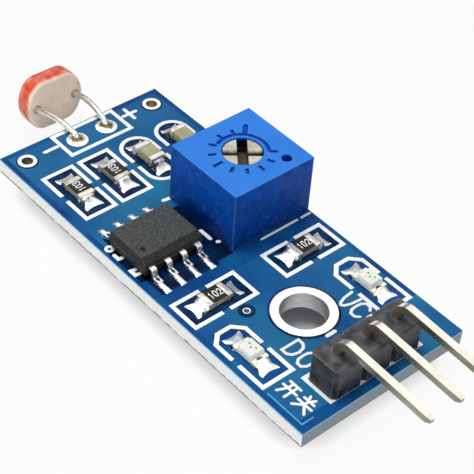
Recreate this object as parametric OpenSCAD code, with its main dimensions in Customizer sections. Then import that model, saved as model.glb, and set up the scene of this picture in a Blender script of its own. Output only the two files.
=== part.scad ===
// Light-sensor module: a photoresistor with its comparator chip, trimmer, indicator lamps and a
// bent three-pin header on one small circuit board. Sizes are in millimetres.
// The origin is on the axis of the mounting hole, at the underside of the board.
// X runs from the photoresistor to the header, Y across the board and Z up.

/* [Board] */
// Thickness of the board
board_thickness = 1.2; // [0.8:0.1:2]
// Width of the board
board_width = 14; // [13:0.1:18]
// Radius of the mounting hole inside its plating
mounting_hole_radius = 1.65; // [1.2:0.05:1.8]
// Wall of the tinned barrel in the mounting hole
mounting_barrel_wall = 0.2; // [0.15:0.01:0.3]
// Width of the tinned ring around the mounting hole
mounting_ring_width = 0.6; // [0.4:0.05:0.9]
// Radius of each corner hole inside its plating
corner_hole_radius = 0.42; // [0.3:0.01:0.5]
// Width of the tinned ring around each corner hole
corner_ring_width = 0.28; // [0.2:0.02:0.6]
// Distance from a corner hole to the two nearest edges
corner_hole_inset = 1.4; // [1.2:0.05:1.8]
// Thickness of the plating on the faces and in the holes
plating = 0.06; // [0.04:0.01:0.1]
// Radius of the small through connection beside the mounting hole
via_radius = 0.15; // [0.1:0.01:0.2]
// Place of the through connection from the mounting hole
via_offset = [-2.33, -2.9]; // [-4:0.01:4]

/* [Layout] */
// From the sensor end of the board to the sensor's pads
sensor_pad_inset = 1.5; // [1.3:0.1:2]
// From the sensor's pads to the column of chip capacitors and resistors
passive_step = 4.8; // [4.4:0.1:6]
// From that column to the comparator chip and the trimmer
comparator_step = 7.65; // [7.2:0.05:9]
// From the comparator chip to the pair of crossways resistors
crossways_step = 6.2; // [5.9:0.1:8]
// From the crossways resistors to the mounting hole
hole_step = 4.35; // [4:0.05:6]
// From the mounting hole to the row of header pins
header_step = 5.55; // [5.2:0.05:7]
// From the row of header pins to the end of the board
header_inset = 1.95; // [1.6:0.05:3]
// From the mounting hole to the indicator lamps, along the board
lamp_offset = 0.7; // [0:0.1:1]
// From each long edge to its indicator lamp
lamp_inset = 1.8; // [1.6:0.05:2.2]
// From the far edge to the first capacitor
capacitor_inset = 2.2; // [2:0.1:3]
// From one capacitor to the next
capacitor_pitch = 3.2; // [2.9:0.1:3.4]
// From the near edge to the first resistor
resistor_inset = 2.37; // [2.2:0.01:3]
// From one resistor to the next
resistor_pitch = 3.1; // [2.9:0.1:3.4]
// From each long edge to its crossways resistor
crossways_inset = 3.1; // [2.8:0.1:3.3]
// From the near edge to the comparator chip
comparator_inset = 3.1; // [2.9:0.05:3.3]

/* [Photoresistor] */
// Diameter of the photoresistor
sensor_diameter = 4.95; // [4.6:0.05:5.4]
// Distance between its two flats
sensor_across_flats = 4.1; // [3.8:0.05:4.4]
// Thickness of the ceramic base
sensor_base_thickness = 1.15; // [0.9:0.05:1.5]
// Depth of the ceramic base that shows behind the resin
sensor_base_bare = 0.62; // [0.4:0.02:0.8]
// Thickness of the clear resin over the light-sensitive face
sensor_resin_thickness = 0.5; // [0.3:0.05:0.8]
// Wall of the resin around the front of the base
sensor_resin_wall = 0.12; // [0.08:0.01:0.2]
// Rounding of the resin's front edge
sensor_resin_round = 0.4; // [0.2:0.05:0.45]
// Thickness of the light-sensitive film and of the electrodes on it
sensor_film = 0.04; // [0.02:0.01:0.06]
// Margin between the film and the rim of the base
sensor_film_margin = 0.16; // [0.08:0.02:0.3]
// Width of each electrode finger
electrode_finger = 0.34; // [0.25:0.01:0.4]
// Width of the light-sensitive track between two fingers
electrode_gap = 0.26; // [0.2:0.01:0.35]
// From the axis of each lead to the inner edge of its comb's spine
electrode_spine_inset = 0.28; // [0.25:0.01:0.4]
// Reach of the back of the base from the end of the board
sensor_reach = 3; // [2.5:0.1:4]
// Height of the photoresistor's axis over the board
sensor_axis_height = 0.1; // [0:0.05:0.6]
// Angle by which the light-sensitive face looks down
sensor_tilt = 3; // [0:1:10]
// Distance between the leads in the base
sensor_lead_spacing = 3.4; // [3:0.1:3.6]
// Distance between the leads in the board
sensor_pad_spacing = 2.6; // [2.4:0.05:3]
// Diameter of the leads
sensor_lead_diameter = 0.44; // [0.4:0.02:0.6]
// Length of each lead that is held in the base
sensor_lead_depth = 0.8; // [0.4:0.05:0.85]
// Radius of the bend in each lead at the board
sensor_lead_bend = 0.4; // [0.3:0.05:0.6]
// Angle at which the near lead leaves its bend
near_lead_lift = 14; // [8:1:30]
// Angle at which the far lead leaves its bend
far_lead_lift = 20; // [8:1:30]

/* [Trimmer] */
// Size of the case along the board
trimmer_length = 6.75; // [6.2:0.05:7.2]
// Size of the case across the board
trimmer_width = 6.95; // [6.4:0.05:7.1]
// Height of the case
trimmer_height = 4.75; // [4.4:0.05:6]
// Distance from the case to the far edge of the board
trimmer_inset = 0.05; // [0:0.05:0.5]
// Thickness of the case's side walls
trimmer_wall = 0.6; // [0.4:0.05:0.8]
// Thickness of the case's top
trimmer_top = 0.8; // [0.6:0.05:1]
// Radius of the rotor's top
rotor_radius = 1.4; // [1.2:0.05:1.55]
// Depth of the rotor's top below the top of the case
rotor_recess = 0.08; // [0:0.02:0.2]
// Width of the main screwdriver slot
slot_width = 0.75; // [0.5:0.05:0.9]
// Depth of the main screwdriver slot
slot_depth = 1.1; // [0.7:0.05:1.2]
// Width of the cross slot at its floor
cross_slot_width = 0.34; // [0.25:0.02:0.5]
// Depth of the cross slot
cross_slot_depth = 0.75; // [0.4:0.05:0.9]
// Rounding of the cross slot's edges
cross_slot_round = 0.32; // [0.1:0.02:0.35]
// Angle of the main slot at rest
slot_angle = 142; // [90:1:180]
// Width of the rotor's flange beyond its top
flange_width = 0.7; // [0.5:0.05:0.8]
// Thickness of the rotor's flange
flange_thickness = 0.9; // [0.7:0.05:1.1]
// Thickness of the seal ring's section
seal_section = 0.46; // [0.36:0.02:0.5]
// Depth of the open space under the filling
filling_recess = 0.25; // [0.1:0.05:0.4]
// Thickness of the filling
filling_thickness = 0.6; // [0.4:0.05:0.7]
// Thickness of the ceramic substrate
substrate_thickness = 0.65; // [0.5:0.05:0.8]
// Thickness of the resistive track
track_thickness = 0.05; // [0.03:0.01:0.08]
// Mean radius of the resistive track
track_radius = 1.75; // [1.5:0.05:1.9]
// Width of the resistive track
track_width = 0.7; // [0.5:0.05:0.8]
// Thickness of the wiper's sheet
wiper_thickness = 0.15; // [0.1:0.01:0.2]
// Number of scale marks
scale_marks = 10; // [6:1:12]
// Angle that the scale covers
scale_sweep = 255; // [200:5:270]
// Angle of the scale's first mark
scale_start = 53; // [30:1:80]
// Radius of the scale's arc
scale_radius = 1.82; // [1.75:0.02:2]
// Depth of the scale's marks
scale_depth = 0.12; // [0.06:0.02:0.2]
// Place of the small round recess from the rotor's axis
trimmer_recess_offset = [2.34, 1.91]; // [-2.5:0.01:2.5]
// Radius of the small round recess
trimmer_recess_radius = 0.38; // [0.3:0.02:0.5]
// Depth of the small round recess
trimmer_recess_depth = 0.5; // [0.2:0.05:0.55]
// Width of the pointer's lines
scale_stroke = 0.15; // [0.08:0.01:0.2]
// Width of the scale's arc
scale_arc_width = 0.26; // [0.1:0.02:0.3]
// Width of the scale's marks
scale_mark_width = 0.24; // [0.1:0.01:0.3]
// Length of the scale's marks
scale_mark_length = 0.56; // [0.3:0.02:0.6]
// Length of the scale's long mark
scale_long_mark_length = 0.8; // [0.5:0.05:1]
// Which of the marks is the long one, from 0
scale_long_mark = 5; // [0:1:9]
// Angle at which the scale's arc ends
scale_arc_end = 208; // [150:1:220]
// Angle of the pointer on the case
pointer_angle = 135; // [100:1:160]
// Length of the pointer
pointer_length = 1.15; // [0.8:0.05:1.3]
// Width of the pointer
pointer_width = 0.34; // [0.3:0.02:0.4]
// Radius of the dot at the pointer's end
pointer_dot_radius = 0.17; // [0.1:0.01:0.22]
// Radius of the hub under the rotor's flange
hub_radius = 0.9; // [0.7:0.05:1.1]
// Height of the wiper's sheet over its contacts
wiper_height = 0.35; // [0.2:0.05:0.5]
// Width of the wiper's arm
wiper_arm_width = 0.5; // [0.3:0.05:0.7]
// Length of the wiper's tip along its arm
wiper_tip_length = 0.4; // [0.2:0.05:0.5]
// Radius of the wiper's middle contact
wiper_pivot_radius = 0.3; // [0.2:0.05:0.5]
// Radius of the collector pad under the wiper's middle
collector_radius = 0.6; // [0.5:0.05:0.8]
// Angle of the opening in the resistive track
track_opening = 60; // [40:5:120]
// Diameter of the trimmer's pins
trimmer_pin_diameter = 0.5; // [0.4:0.05:0.6]
// From each side of the case to the outer pins
trimmer_pin_inset = 0.93; // [0.9:0.01:1.2]
// From each end of the case to the pins
trimmer_pin_end_inset = 2.1; // [1:0.05:2.4]

/* [Comparator chip] */
// Width of the moulded body between its two rows of leads
comparator_width = 3.9; // [3.7:0.05:4.1]
// Length of the moulded body along its rows of leads
comparator_length = 4.9; // [4.7:0.05:5.1]
// Height of the body's top over the board
comparator_height = 1.5; // [1.3:0.05:1.8]
// Gap between the body and the board
comparator_standoff = 0.12; // [0.08:0.02:0.25]
// Draft of the body from its parting line to its faces
comparator_draft = 0.12; // [0.06:0.02:0.2]
// Bevel along the edge beside the first lead
comparator_bevel = 0.36; // [0.2:0.02:0.45]
// Place of the dimple beside the first lead, from the middle of the body
dimple_place = [0.85, -1.75]; // [-2:0.05:2]
// Radius of the dimple beside the first lead
dimple_radius = 0.22; // [0.15:0.01:0.3]
// Depth of the dimple
dimple_depth = 0.06; // [0.04:0.01:0.1]
// Distance from lead to lead
lead_pitch = 1.27; // [1.2:0.01:1.3]
// Number of leads in each row
leads_per_row = 4; // [2:1:4]
// Distance between the tips of facing leads
lead_span = 6; // [5.8:0.05:6.3]
// Width of each lead
lead_width = 0.42; // [0.35:0.01:0.5]
// Thickness of each lead
lead_thickness = 0.2; // [0.15:0.01:0.24]
// Height of the leads where they leave the body
lead_exit_height = 0.78; // [0.7:0.02:0.9]
// Radius of the bends along the middle of each lead
lead_bend = 0.22; // [0.18:0.01:0.26]
// Slope of each lead between its bends
lead_slope = 80; // [65:1:85]
// Length of each lead's flat foot
lead_foot = 0.45; // [0.3:0.05:0.55]
// Length of each lead that is held in the moulding
lead_root = 0.4; // [0.2:0.05:0.8]

/* [Chip parts] */
// Length of the chip resistors, capacitors and lamps
chip_length = 2; // [1.8:0.05:2.2]
// Width of the chip resistors, capacitors and lamps
chip_width = 1.25; // [1.1:0.05:1.35]
// Height of the chip resistors
resistor_height = 0.5; // [0.4:0.02:0.65]
// Height of the chip capacitors
capacitor_height = 0.75; // [0.6:0.05:1]
// Length of the metal end caps
cap_length = 0.4; // [0.3:0.02:0.5]
// Thickness of the metal end caps
cap_wall = 0.04; // [0.03:0.01:0.06]
// Thickness of the glaze on the resistors
glaze_thickness = 0.06; // [0.04:0.01:0.1]
// Height of each lamp's base
lamp_base_height = 0.3; // [0.2:0.02:0.4]
// Height of each lamp's lens over its base
lamp_lens_height = 0.38; // [0.3:0.02:0.6]
// Length of each lamp's lens
lamp_lens_length = 1.35; // [1.1:0.05:1.35]
// Draft of the lens from its foot to its top
lamp_lens_draft = 0.06; // [0.04:0.02:0.15]
// Radius of the half-round notch in each end of a lamp
lamp_notch_radius = 0.3; // [0.2:0.02:0.35]
// Side of the light chip in each lamp
lamp_die_side = 0.3; // [0.2:0.02:0.4]
// Height of the light chip
lamp_die_height = 0.12; // [0.08:0.01:0.2]

/* [Header] */
// Distance from pin to pin
pin_pitch = 2.54; // [2.5:0.01:2.6]
// Number of pins
pin_count = 3; // [2:1:3]
// Side of the square pins
pin_side = 0.52; // [0.48:0.01:0.66]
// Width of the moulded block
block_width = 2.5; // [2.3:0.02:2.6]
// Height of the moulded block
block_height = 2.5; // [2.2:0.02:2.8]
// Chamfer between the block's segments
block_chamfer = 0.58; // [0.3:0.02:0.6]
// Chamfer along the block's top edges
block_edge = 0.16; // [0.06:0.02:0.3]
// Rise of each pin from the block to its bend
pin_rise = 0.25; // [0.05:0.05:0.5]
// Radius of the bend along the middle of each pin
pin_bend = 0.95; // [0.7:0.05:1.2]
// Angle by which the bent pins droop
pin_droop = 3; // [0:0.5:6]
// Reach of the pins' tips from their row
pin_reach = 7.7; // [6:0.1:9]
// Length of the taper at each pin's tip
pin_taper = 0.35; // [0.3:0.05:0.7]
// Side of each pin's flat tip
pin_tip_side = 0.28; // [0.2:0.02:0.4]

/* [Solder and print] */
// Length of every tail below the board
tail_length = 1.5; // [1.2:0.1:2]
// Radius of the holes for the header pins
pin_hole_radius = 0.48; // [0.47:0.01:0.6]
// Radius of the holes for the round leads and pins
lead_hole_radius = 0.42; // [0.38:0.01:0.5]
// Radius of the solder cones on the board
solder_radius = 0.8; // [0.7:0.05:0.95]
// Height of the solder cones below the board
solder_cone_height = 0.85; // [0.6:0.05:1.1]
// Height of the solder around the sensor's leads, over the board
sensor_solder_height = 0.32; // [0.2:0.02:0.4]
// Thickness of the solder under each terminal
solder_film = 0.05; // [0.03:0.01:0.08]
// Run of the solder beyond the end of a chip part
solder_toe = 0.95; // [0.7:0.05:1.1]
// Width of the solder at a chip part
solder_width = 1.4; // [1.3:0.05:1.6]
// Rise of the solder on the ends of the resistors
resistor_solder_rise = 0.4; // [0.2:0.05:0.4]
// Rise of the solder on the ends of the capacitors
capacitor_solder_rise = 0.45; // [0.2:0.05:0.6]
// Rise of the solder on the ends of the lamps
lamp_solder_rise = 0.2; // [0.1:0.02:0.2]
// Width of the solder at a comparator lead
lead_solder_width = 0.6; // [0.5:0.02:0.7]
// Run of the solder beyond the tip of a comparator lead
lead_solder_toe = 0.9; // [0.6:0.05:1]
// Thickness of the printed lines
print_thickness = 0.03; // [0.02:0.01:0.05]
// Width of the printed lines
print_stroke = 0.3; // [0.2:0.02:0.36]
// Length of the printed outlines around the chip parts
outline_length = 5.45; // [5:0.05:5.8]
// Width of the printed outlines around the chip parts
outline_width = 2.75; // [2.5:0.05:2.8]
// Opening in each long side of those outlines
outline_gap = 0.6; // [0.4:0.05:0.8]
// Chamfer of the outline at the marked end of each lamp
outline_chamfer = 0.75; // [0.5:0.05:1]
// Length and width of the printed box around the sensor's pads
sensor_outline = [2.8, 5.6]; // [2.4:0.1:6]
// Length and width of the printed box around the header
header_outline = [2.7, 8.1]; // [2.7:0.1:9]
// Shift of that box from the pins, towards the sensor
header_outline_shift = 0.1; // [0:0.02:0.15]

/* [Hidden] */
$fn = 48;
// Clearance of a piece that is pressed, potted or soldered into another
snug = 0.01;
// Running clearance between the rotor and the case
running = 0.05;
// Overshoot of cutting shapes beyond the faces that they cut
cut = 1;
// Step of the angles along curved outlines
arc_step = 15;

// Stations along the board, from the mounting hole
header_end = header_step + header_inset;
crossways_x = -hole_step;
comparator_x = crossways_x - crossways_step;
passive_x = comparator_x - comparator_step;
sensor_pad_x = passive_x - passive_step;
sensor_end = sensor_pad_x - sensor_pad_inset;
board_length = header_end - sensor_end;

// Edges and levels of the board
far_edge = board_width / 2;
near_edge = -board_width / 2;
board_top = board_thickness;
tail_end = -tail_length;

// Places of the repeated parts: station, row and turn
resistor_places = [
    [passive_x, near_edge + resistor_inset + resistor_pitch, 0],
    [passive_x, near_edge + resistor_inset, 0],
    [crossways_x, far_edge - crossways_inset, 90],
    [crossways_x, near_edge + crossways_inset, 90]
];
capacitor_places = [
    [passive_x, far_edge - capacitor_inset, 0],
    [passive_x, far_edge - capacitor_inset - capacitor_pitch, 0]
];
lamp_places = [
    [lamp_offset, near_edge + lamp_inset, 0],
    [lamp_offset, far_edge - lamp_inset, 0]
];
corner_hole_places = [
    [sensor_end + corner_hole_inset, near_edge + corner_hole_inset],
    [sensor_end + corner_hole_inset, far_edge - corner_hole_inset]
];
pin_rows = [for (i = [0:pin_count - 1]) (i - (pin_count - 1) / 2) * pin_pitch];
lead_rows = [for (i = [0:leads_per_row - 1]) (i - (leads_per_row - 1) / 2) * lead_pitch];

// Photoresistor
sensor_radius = sensor_diameter / 2;
sensor_lead_radius = sensor_lead_diameter / 2;
sensor_back = [sensor_end - sensor_reach, 0, board_top + sensor_axis_height];
sensor_sides = [-1, 1];
sensor_lead_lifts = [near_lead_lift, far_lead_lift];
sensor_film_top = sensor_base_thickness + 2 * sensor_film;

// Trimmer levels, from the board's top
trimmer_x = comparator_x;
trimmer_y = far_edge - trimmer_inset - trimmer_width / 2;
cavity_length = trimmer_length - 2 * trimmer_wall;
cavity_width = trimmer_width - 2 * trimmer_wall;
cavity_top = trimmer_height - trimmer_top;
substrate_floor = filling_recess + filling_thickness;
substrate_face = substrate_floor + substrate_thickness;
wiper_contact = substrate_face + track_thickness + snug;
rotor_face = trimmer_height - rotor_recess;
flange_top = cavity_top - seal_section - 2 * snug;
flange_floor = flange_top - flange_thickness;
flange_radius = rotor_radius + flange_width;
wiper_face = wiper_contact + wiper_height;
hub_floor = wiper_face + wiper_thickness;
wiper_angle = slot_angle - 180;
track_opening_angle = scale_start + (360 - scale_sweep) / 2;
trimmer_pin_x = trimmer_length / 2 - trimmer_pin_end_inset;
trimmer_pin_y = trimmer_width / 2 - trimmer_pin_inset;
trimmer_pin_places = [
    [-trimmer_pin_x, -trimmer_pin_y],
    [trimmer_pin_x, 0],
    [-trimmer_pin_x, trimmer_pin_y]
];

// Comparator chip
comparator_y = near_edge + comparator_inset;
lead_foot_level = solder_film + lead_thickness / 2;
lead_drop = lead_exit_height - lead_foot_level;
lead_straight = (lead_drop - 2 * lead_bend * (1 - cos(lead_slope))) / sin(lead_slope);
lead_tip = lead_span / 2;
lower_bend_x = lead_tip - lead_foot;
upper_bend_x = lower_bend_x - 2 * lead_bend * sin(lead_slope) - lead_straight * cos(lead_slope);

// Header
header_x = header_step;
block_floor = board_top + print_thickness;
block_top = block_floor + block_height;
pin_bend_level = block_top + pin_rise;
pin_run = (pin_reach - pin_bend * (1 + sin(pin_droop))) / cos(pin_droop);

// Points along an arc, from one angle to another
function arc_points(center, radius, from, to) =
    let (steps = max(1, round(abs(to - from) / arc_step)))
    [for (i = [0:steps])
        let (a = from + (to - from) * i / steps)
        center + radius * [cos(a), sin(a)]];

// Points down a hollow fillet, from its foot to its top
function fillet_points(run, low, high) =
    [for (a = [0:arc_step:90]) [run * (1 - sin(a)), low + (high - low) * (1 - cos(a))]];

// Side view of the solder at a terminal: a film under it and a hollow fillet up its end
module solder_section(end, under, toe, rise) {
    polygon(concat(
        [[end - under, 0], [end + toe, 0]],
        [for (p = fillet_points(toe, solder_film / 2, solder_film + rise)) [end + p[0], p[1]]],
        [[end, solder_film], [end - under, solder_film]]));
}

// Moves a part on to the board, at its station and row
module on_board(place, turn = 0) {
    translate([place[0], place[1], board_top]) rotate([0, 0, turn]) children();
}

// Extrudes a profile drawn in X and Z across Y
module across(width) {
    rotate([90, 0, 0]) linear_extrude(height = width, center = true) children();
}

// Extrudes a profile drawn in Y and Z along X
module along(length) {
    rotate([90, 0, 90]) linear_extrude(height = length, center = true) children();
}

// Block that stands on Z = 0 around the Z axis
module block(length, width, height) {
    translate([-length / 2, -width / 2, 0]) cube([length, width, height]);
}

// Plating of a drilled hole: a barrel with a ring on each face
module plated_hole(hole_radius, wall, ring_width) {
    difference() {
        union() {
            cylinder(r = hole_radius + wall, h = board_thickness);
            for (z = [-plating, board_thickness])
                translate([0, 0, z]) cylinder(r = hole_radius + ring_width, h = plating);
        }
        translate([0, 0, -cut]) cylinder(r = hole_radius, h = board_thickness + 2 * cut);
    }
}

// Cuts a drilled hole through the board
module drill(place, radius) {
    translate([place[0], place[1], -cut]) cylinder(r = radius, h = board_thickness + 2 * cut);
}

module circuit_board() {
    color([0.12, 0.32, 0.62])
    difference() {
        translate([sensor_end, near_edge, 0]) cube([board_length, board_width, board_thickness]);
        drill([0, 0], mounting_hole_radius + mounting_barrel_wall);
        drill(via_offset, via_radius);
        for (place = corner_hole_places) drill(place, corner_hole_radius + plating);
        for (side = sensor_sides) drill([sensor_pad_x, side * sensor_pad_spacing / 2], lead_hole_radius);
        for (place = trimmer_pin_places) drill([trimmer_x, trimmer_y] + place, lead_hole_radius);
        for (y = pin_rows) drill([header_x, y], pin_hole_radius);
    }
}

module mounting_hole_plating() {
    color("silver") plated_hole(mounting_hole_radius, mounting_barrel_wall, mounting_ring_width);
}

module corner_hole_plating(index) {
    color("silver") translate(corner_hole_places[index])
        plated_hole(corner_hole_radius, plating, corner_ring_width);
}

// Printed outlines

// Shape with fully rounded ends
module stadium(length, width) {
    square([length - width, width], center = true);
    for (side = [-1, 1]) translate([side * (length - width) / 2, 0]) circle(d = width);
}

// Rectangle with chamfered corners at its marked end
module marked_rectangle(length, width, chamfer) {
    x = length / 2;
    y = width / 2;
    polygon([[x, -y], [x, y], [chamfer - x, y], [-x, y - chamfer], [-x, chamfer - y], [chamfer - x, -y]]);
}

// Opens the middle of both long sides of an outline
module open_sides() {
    difference() {
        children();
        square([outline_gap, outline_width + cut], center = true);
    }
}

module stadium_outline() {
    open_sides() difference() {
        stadium(outline_length, outline_width);
        stadium(outline_length - 2 * print_stroke, outline_width - 2 * print_stroke);
    }
}

module box_outline(size) {
    difference() {
        square(size, center = true);
        square(size - 2 * [print_stroke, print_stroke], center = true);
    }
}

module lamp_outline() {
    open_sides() difference() {
        marked_rectangle(outline_length, outline_width, outline_chamfer);
        marked_rectangle(outline_length - 2 * print_stroke, outline_width - 2 * print_stroke,
            outline_chamfer - print_stroke / 2);
    }
}

module board_legend() {
    color("white") {
        for (place = capacitor_places)
            on_board(place) linear_extrude(height = print_thickness) stadium_outline();
        for (place = resistor_places)
            on_board(place, place[2]) linear_extrude(height = print_thickness)
                open_sides() box_outline([outline_length, outline_width]);
        for (place = lamp_places)
            on_board(place) linear_extrude(height = print_thickness) lamp_outline();
        on_board([sensor_pad_x, 0]) linear_extrude(height = print_thickness) box_outline(sensor_outline);
        on_board([header_x - header_outline_shift, 0]) linear_extrude(height = print_thickness)
            box_outline(header_outline);
    }
}

// Photoresistor: its own Z axis runs from the back of the base out of the light-sensitive face

module at_sensor() {
    translate(sensor_back) rotate([0, -90 - sensor_tilt, 0]) children();
}

// Disc with two flats
module flat_disc(radius, across_flats) {
    intersection() {
        circle(r = radius);
        square([across_flats, 2 * radius + cut], center = true);
    }
}

// The disc as the base or the resin has it, drawn in by a margin all round
module sensor_outline_disc(margin = 0) {
    flat_disc(sensor_radius - margin, sensor_across_flats - 2 * margin);
}

module sensor_base() {
    color([0.82, 0.74, 0.66])
    difference() {
        at_sensor() {
            linear_extrude(height = sensor_base_bare) sensor_outline_disc();
            linear_extrude(height = sensor_base_thickness) sensor_outline_disc(sensor_resin_wall);
        }
        for (i = [0:1]) sensor_lead_wire(i, sensor_lead_radius + snug);
    }
}

module sensor_track() {
    color([0.8, 0.3, 0.2])
    at_sensor() translate([0, 0, sensor_base_thickness])
        linear_extrude(height = sensor_film)
            sensor_outline_disc(sensor_resin_wall + sensor_film_margin);
}

// One comb of fingers, which reaches in from one side
module electrode_comb(side) {
    pitch = electrode_finger + electrode_gap;
    spine = sensor_lead_spacing / 2 - electrode_spine_inset;
    rows = floor(sensor_across_flats / pitch / 2);
    intersection() {
        sensor_outline_disc(sensor_resin_wall + sensor_film_margin);
        union() {
            translate([-sensor_radius, side > 0 ? spine : -spine - sensor_radius])
                square([sensor_diameter, sensor_radius]);
            for (row = [-rows:rows])
                if ((abs(row) % 2 == 0) == (side > 0))
                    translate([row * pitch - electrode_finger / 2, side > 0 ? electrode_gap - spine : -spine])
                        square([electrode_finger, 2 * spine - electrode_gap]);
        }
    }
}

module sensor_electrodes() {
    color("silver")
    at_sensor() translate([0, 0, sensor_base_thickness + sensor_film])
        for (side = sensor_sides) linear_extrude(height = sensor_film) electrode_comb(side);
}

// Half of the resin's section, with a rounded front edge
module resin_half(half_width, depth) {
    square([half_width - sensor_resin_round, depth]);
    square([half_width, depth - sensor_resin_round]);
    translate([half_width - sensor_resin_round, depth - sensor_resin_round])
        circle(r = sensor_resin_round);
}

module sensor_resin() {
    depth = sensor_base_thickness + sensor_resin_thickness - sensor_base_bare;
    color([0.92, 0.46, 0.3, 0.6])
    at_sensor() difference() {
        translate([0, 0, sensor_base_bare]) intersection() {
            rotate_extrude() resin_half(sensor_radius, depth);
            across(sensor_diameter + cut) union() {
                resin_half(sensor_across_flats / 2, depth);
                mirror([1, 0]) resin_half(sensor_across_flats / 2, depth);
            }
        }
        linear_extrude(height = sensor_base_thickness + snug) sensor_outline_disc(sensor_resin_wall - snug);
        linear_extrude(height = sensor_film_top + snug)
            sensor_outline_disc(sensor_resin_wall + sensor_film_margin - snug);
    }
}

// Round wire of a lead: a tail through the board, a tight bend and an arch into the base
module sensor_lead_wire(index, radius) {
    lift = sensor_lead_lifts[index];
    foot = [sensor_pad_x, sensor_sides[index] * sensor_pad_spacing / 2];
    entry = [sensor_back[0], sensor_sides[index] * sensor_lead_spacing / 2];
    heading = atan2(entry[1] - foot[1], entry[0] - foot[0]);
    bend_end = [sensor_lead_bend * (1 - sin(lift)), board_top + sensor_lead_bend * cos(lift)];
    chord = [norm(entry - foot), sensor_back[2]] - bend_end;
    turn = lift - atan2(chord[1], chord[0]);
    arch = norm(chord) / (2 * sin(turn));
    held = sensor_lead_depth / arch * 180 / PI;
    translate([foot[0], foot[1], 0]) rotate([0, 0, heading]) {
        translate([0, 0, tail_end]) cylinder(r = radius, h = board_top - tail_end);
        translate([sensor_lead_bend, 0, board_top]) rotate([90, 0, 0]) rotate([0, 0, lift]) {
            rotate([0, 0, 90]) rotate_extrude(angle = 90 - lift)
                translate([sensor_lead_bend, 0]) circle(r = radius);
            translate([0, sensor_lead_bend, 0]) translate([0, -arch, 0])
                rotate([0, 0, 90]) mirror([0, 1, 0]) rotate_extrude(angle = 2 * turn + held)
                    translate([arch, 0]) circle(r = radius);
        }
    }
}

module sensor_lead(index) {
    color([0.85, 0.83, 0.76]) sensor_lead_wire(index, sensor_lead_radius);
}

// Solder that fills a hole of the board, with a hollow cone below and, if asked for, one above
module hole_solder(hole_radius, core_radius, top_height) {
    run = solder_radius - core_radius;
    below = [for (p = fillet_points(run, 0, solder_cone_height)) [core_radius + p[0], -p[1]]];
    above = [for (p = fillet_points(run, 0, top_height)) [core_radius + p[0], board_top + p[1]]];
    rotate_extrude()
        polygon(concat(
            [[0, -solder_cone_height]],
            [for (i = [len(below) - 1:-1:0]) below[i]],
            [[hole_radius, 0], [hole_radius, board_top]],
            top_height > 0 ? above : [],
            [[0, board_top + top_height]]));
}

module sensor_solder(index) {
    color("silver") difference() {
        translate([sensor_pad_x, sensor_sides[index] * sensor_pad_spacing / 2, 0])
            hole_solder(lead_hole_radius, sensor_lead_radius + plating, sensor_solder_height);
        sensor_lead(index);
    }
}

// Trimmer: levels count from the board's top

module at_trimmer() {
    on_board([trimmer_x, trimmer_y]) children();
}

// Radial mark of the scale
module scale_mark(angle, length) {
    rotate(angle) translate([scale_radius, -scale_mark_width / 2]) square([length, scale_mark_width]);
}

// Arc of the scale
module scale_arc(from, to) {
    outer = scale_radius + scale_arc_width / 2;
    difference() {
        intersection() {
            circle(r = outer);
            polygon(concat([[0, 0]], arc_points([0, 0], 2 * outer, from, to)));
        }
        circle(r = outer - scale_arc_width);
    }
}

// Pointer of the scale: two lines with a dot at their outer end
module scale_pointer() {
    rotate(pointer_angle) translate([scale_radius, 0]) {
        for (side = [-1, 1])
            translate([0, side * (pointer_width - scale_stroke) / 2 - scale_stroke / 2])
                square([pointer_length - pointer_dot_radius, scale_stroke]);
        translate([pointer_length - pointer_dot_radius, 0]) circle(r = pointer_dot_radius);
    }
}

module trimmer_scale() {
    for (i = [0:scale_marks - 1])
        scale_mark(scale_start - i * scale_sweep / (scale_marks - 1),
            i == scale_long_mark ? scale_long_mark_length : scale_mark_length);
    scale_arc(scale_start, scale_arc_end);
    scale_pointer();
}

module trimmer_case() {
    color([0.16, 0.42, 0.86])
    at_trimmer() difference() {
        block(trimmer_length, trimmer_width, trimmer_height);
        translate([0, 0, -cut]) block(cavity_length, cavity_width, cavity_top + cut);
        cylinder(r = rotor_radius + running, h = trimmer_height + cut);
        translate([0, 0, trimmer_height - scale_depth])
            linear_extrude(height = scale_depth + cut) trimmer_scale();
        translate([trimmer_recess_offset[0], trimmer_recess_offset[1], trimmer_height - trimmer_recess_depth])
            cylinder(r = trimmer_recess_radius, h = trimmer_recess_depth + cut);
    }
}

// Section of the cross slot, with rounded edges
module cross_slot_section() {
    half = cross_slot_width / 2;
    shoulder = half + cross_slot_round;
    edge = [for (a = [0:arc_step:90])
        [shoulder - cross_slot_round * cos(a), -cross_slot_round * (1 - sin(a))]];
    polygon(concat([[half, -cross_slot_depth]], edge, [[shoulder, cut], [-shoulder, cut]],
        [for (i = [len(edge) - 1:-1:0]) [-edge[i][0], edge[i][1]]], [[-half, -cross_slot_depth]]));
}

module trimmer_rotor() {
    color([0.88, 0.85, 0.74])
    at_trimmer() difference() {
        union() {
            translate([0, 0, flange_floor]) cylinder(r = rotor_radius, h = rotor_face - flange_floor);
            translate([0, 0, flange_floor]) cylinder(r = flange_radius, h = flange_thickness);
            translate([0, 0, hub_floor]) cylinder(r = hub_radius, h = flange_floor - hub_floor);
        }
        rotate([0, 0, slot_angle]) {
            translate([0, 0, rotor_face - slot_depth])
                block(2 * rotor_radius + cut, slot_width, slot_depth + cut);
            translate([0, 0, rotor_face]) across(2 * rotor_radius + cut) cross_slot_section();
        }
    }
}

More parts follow.
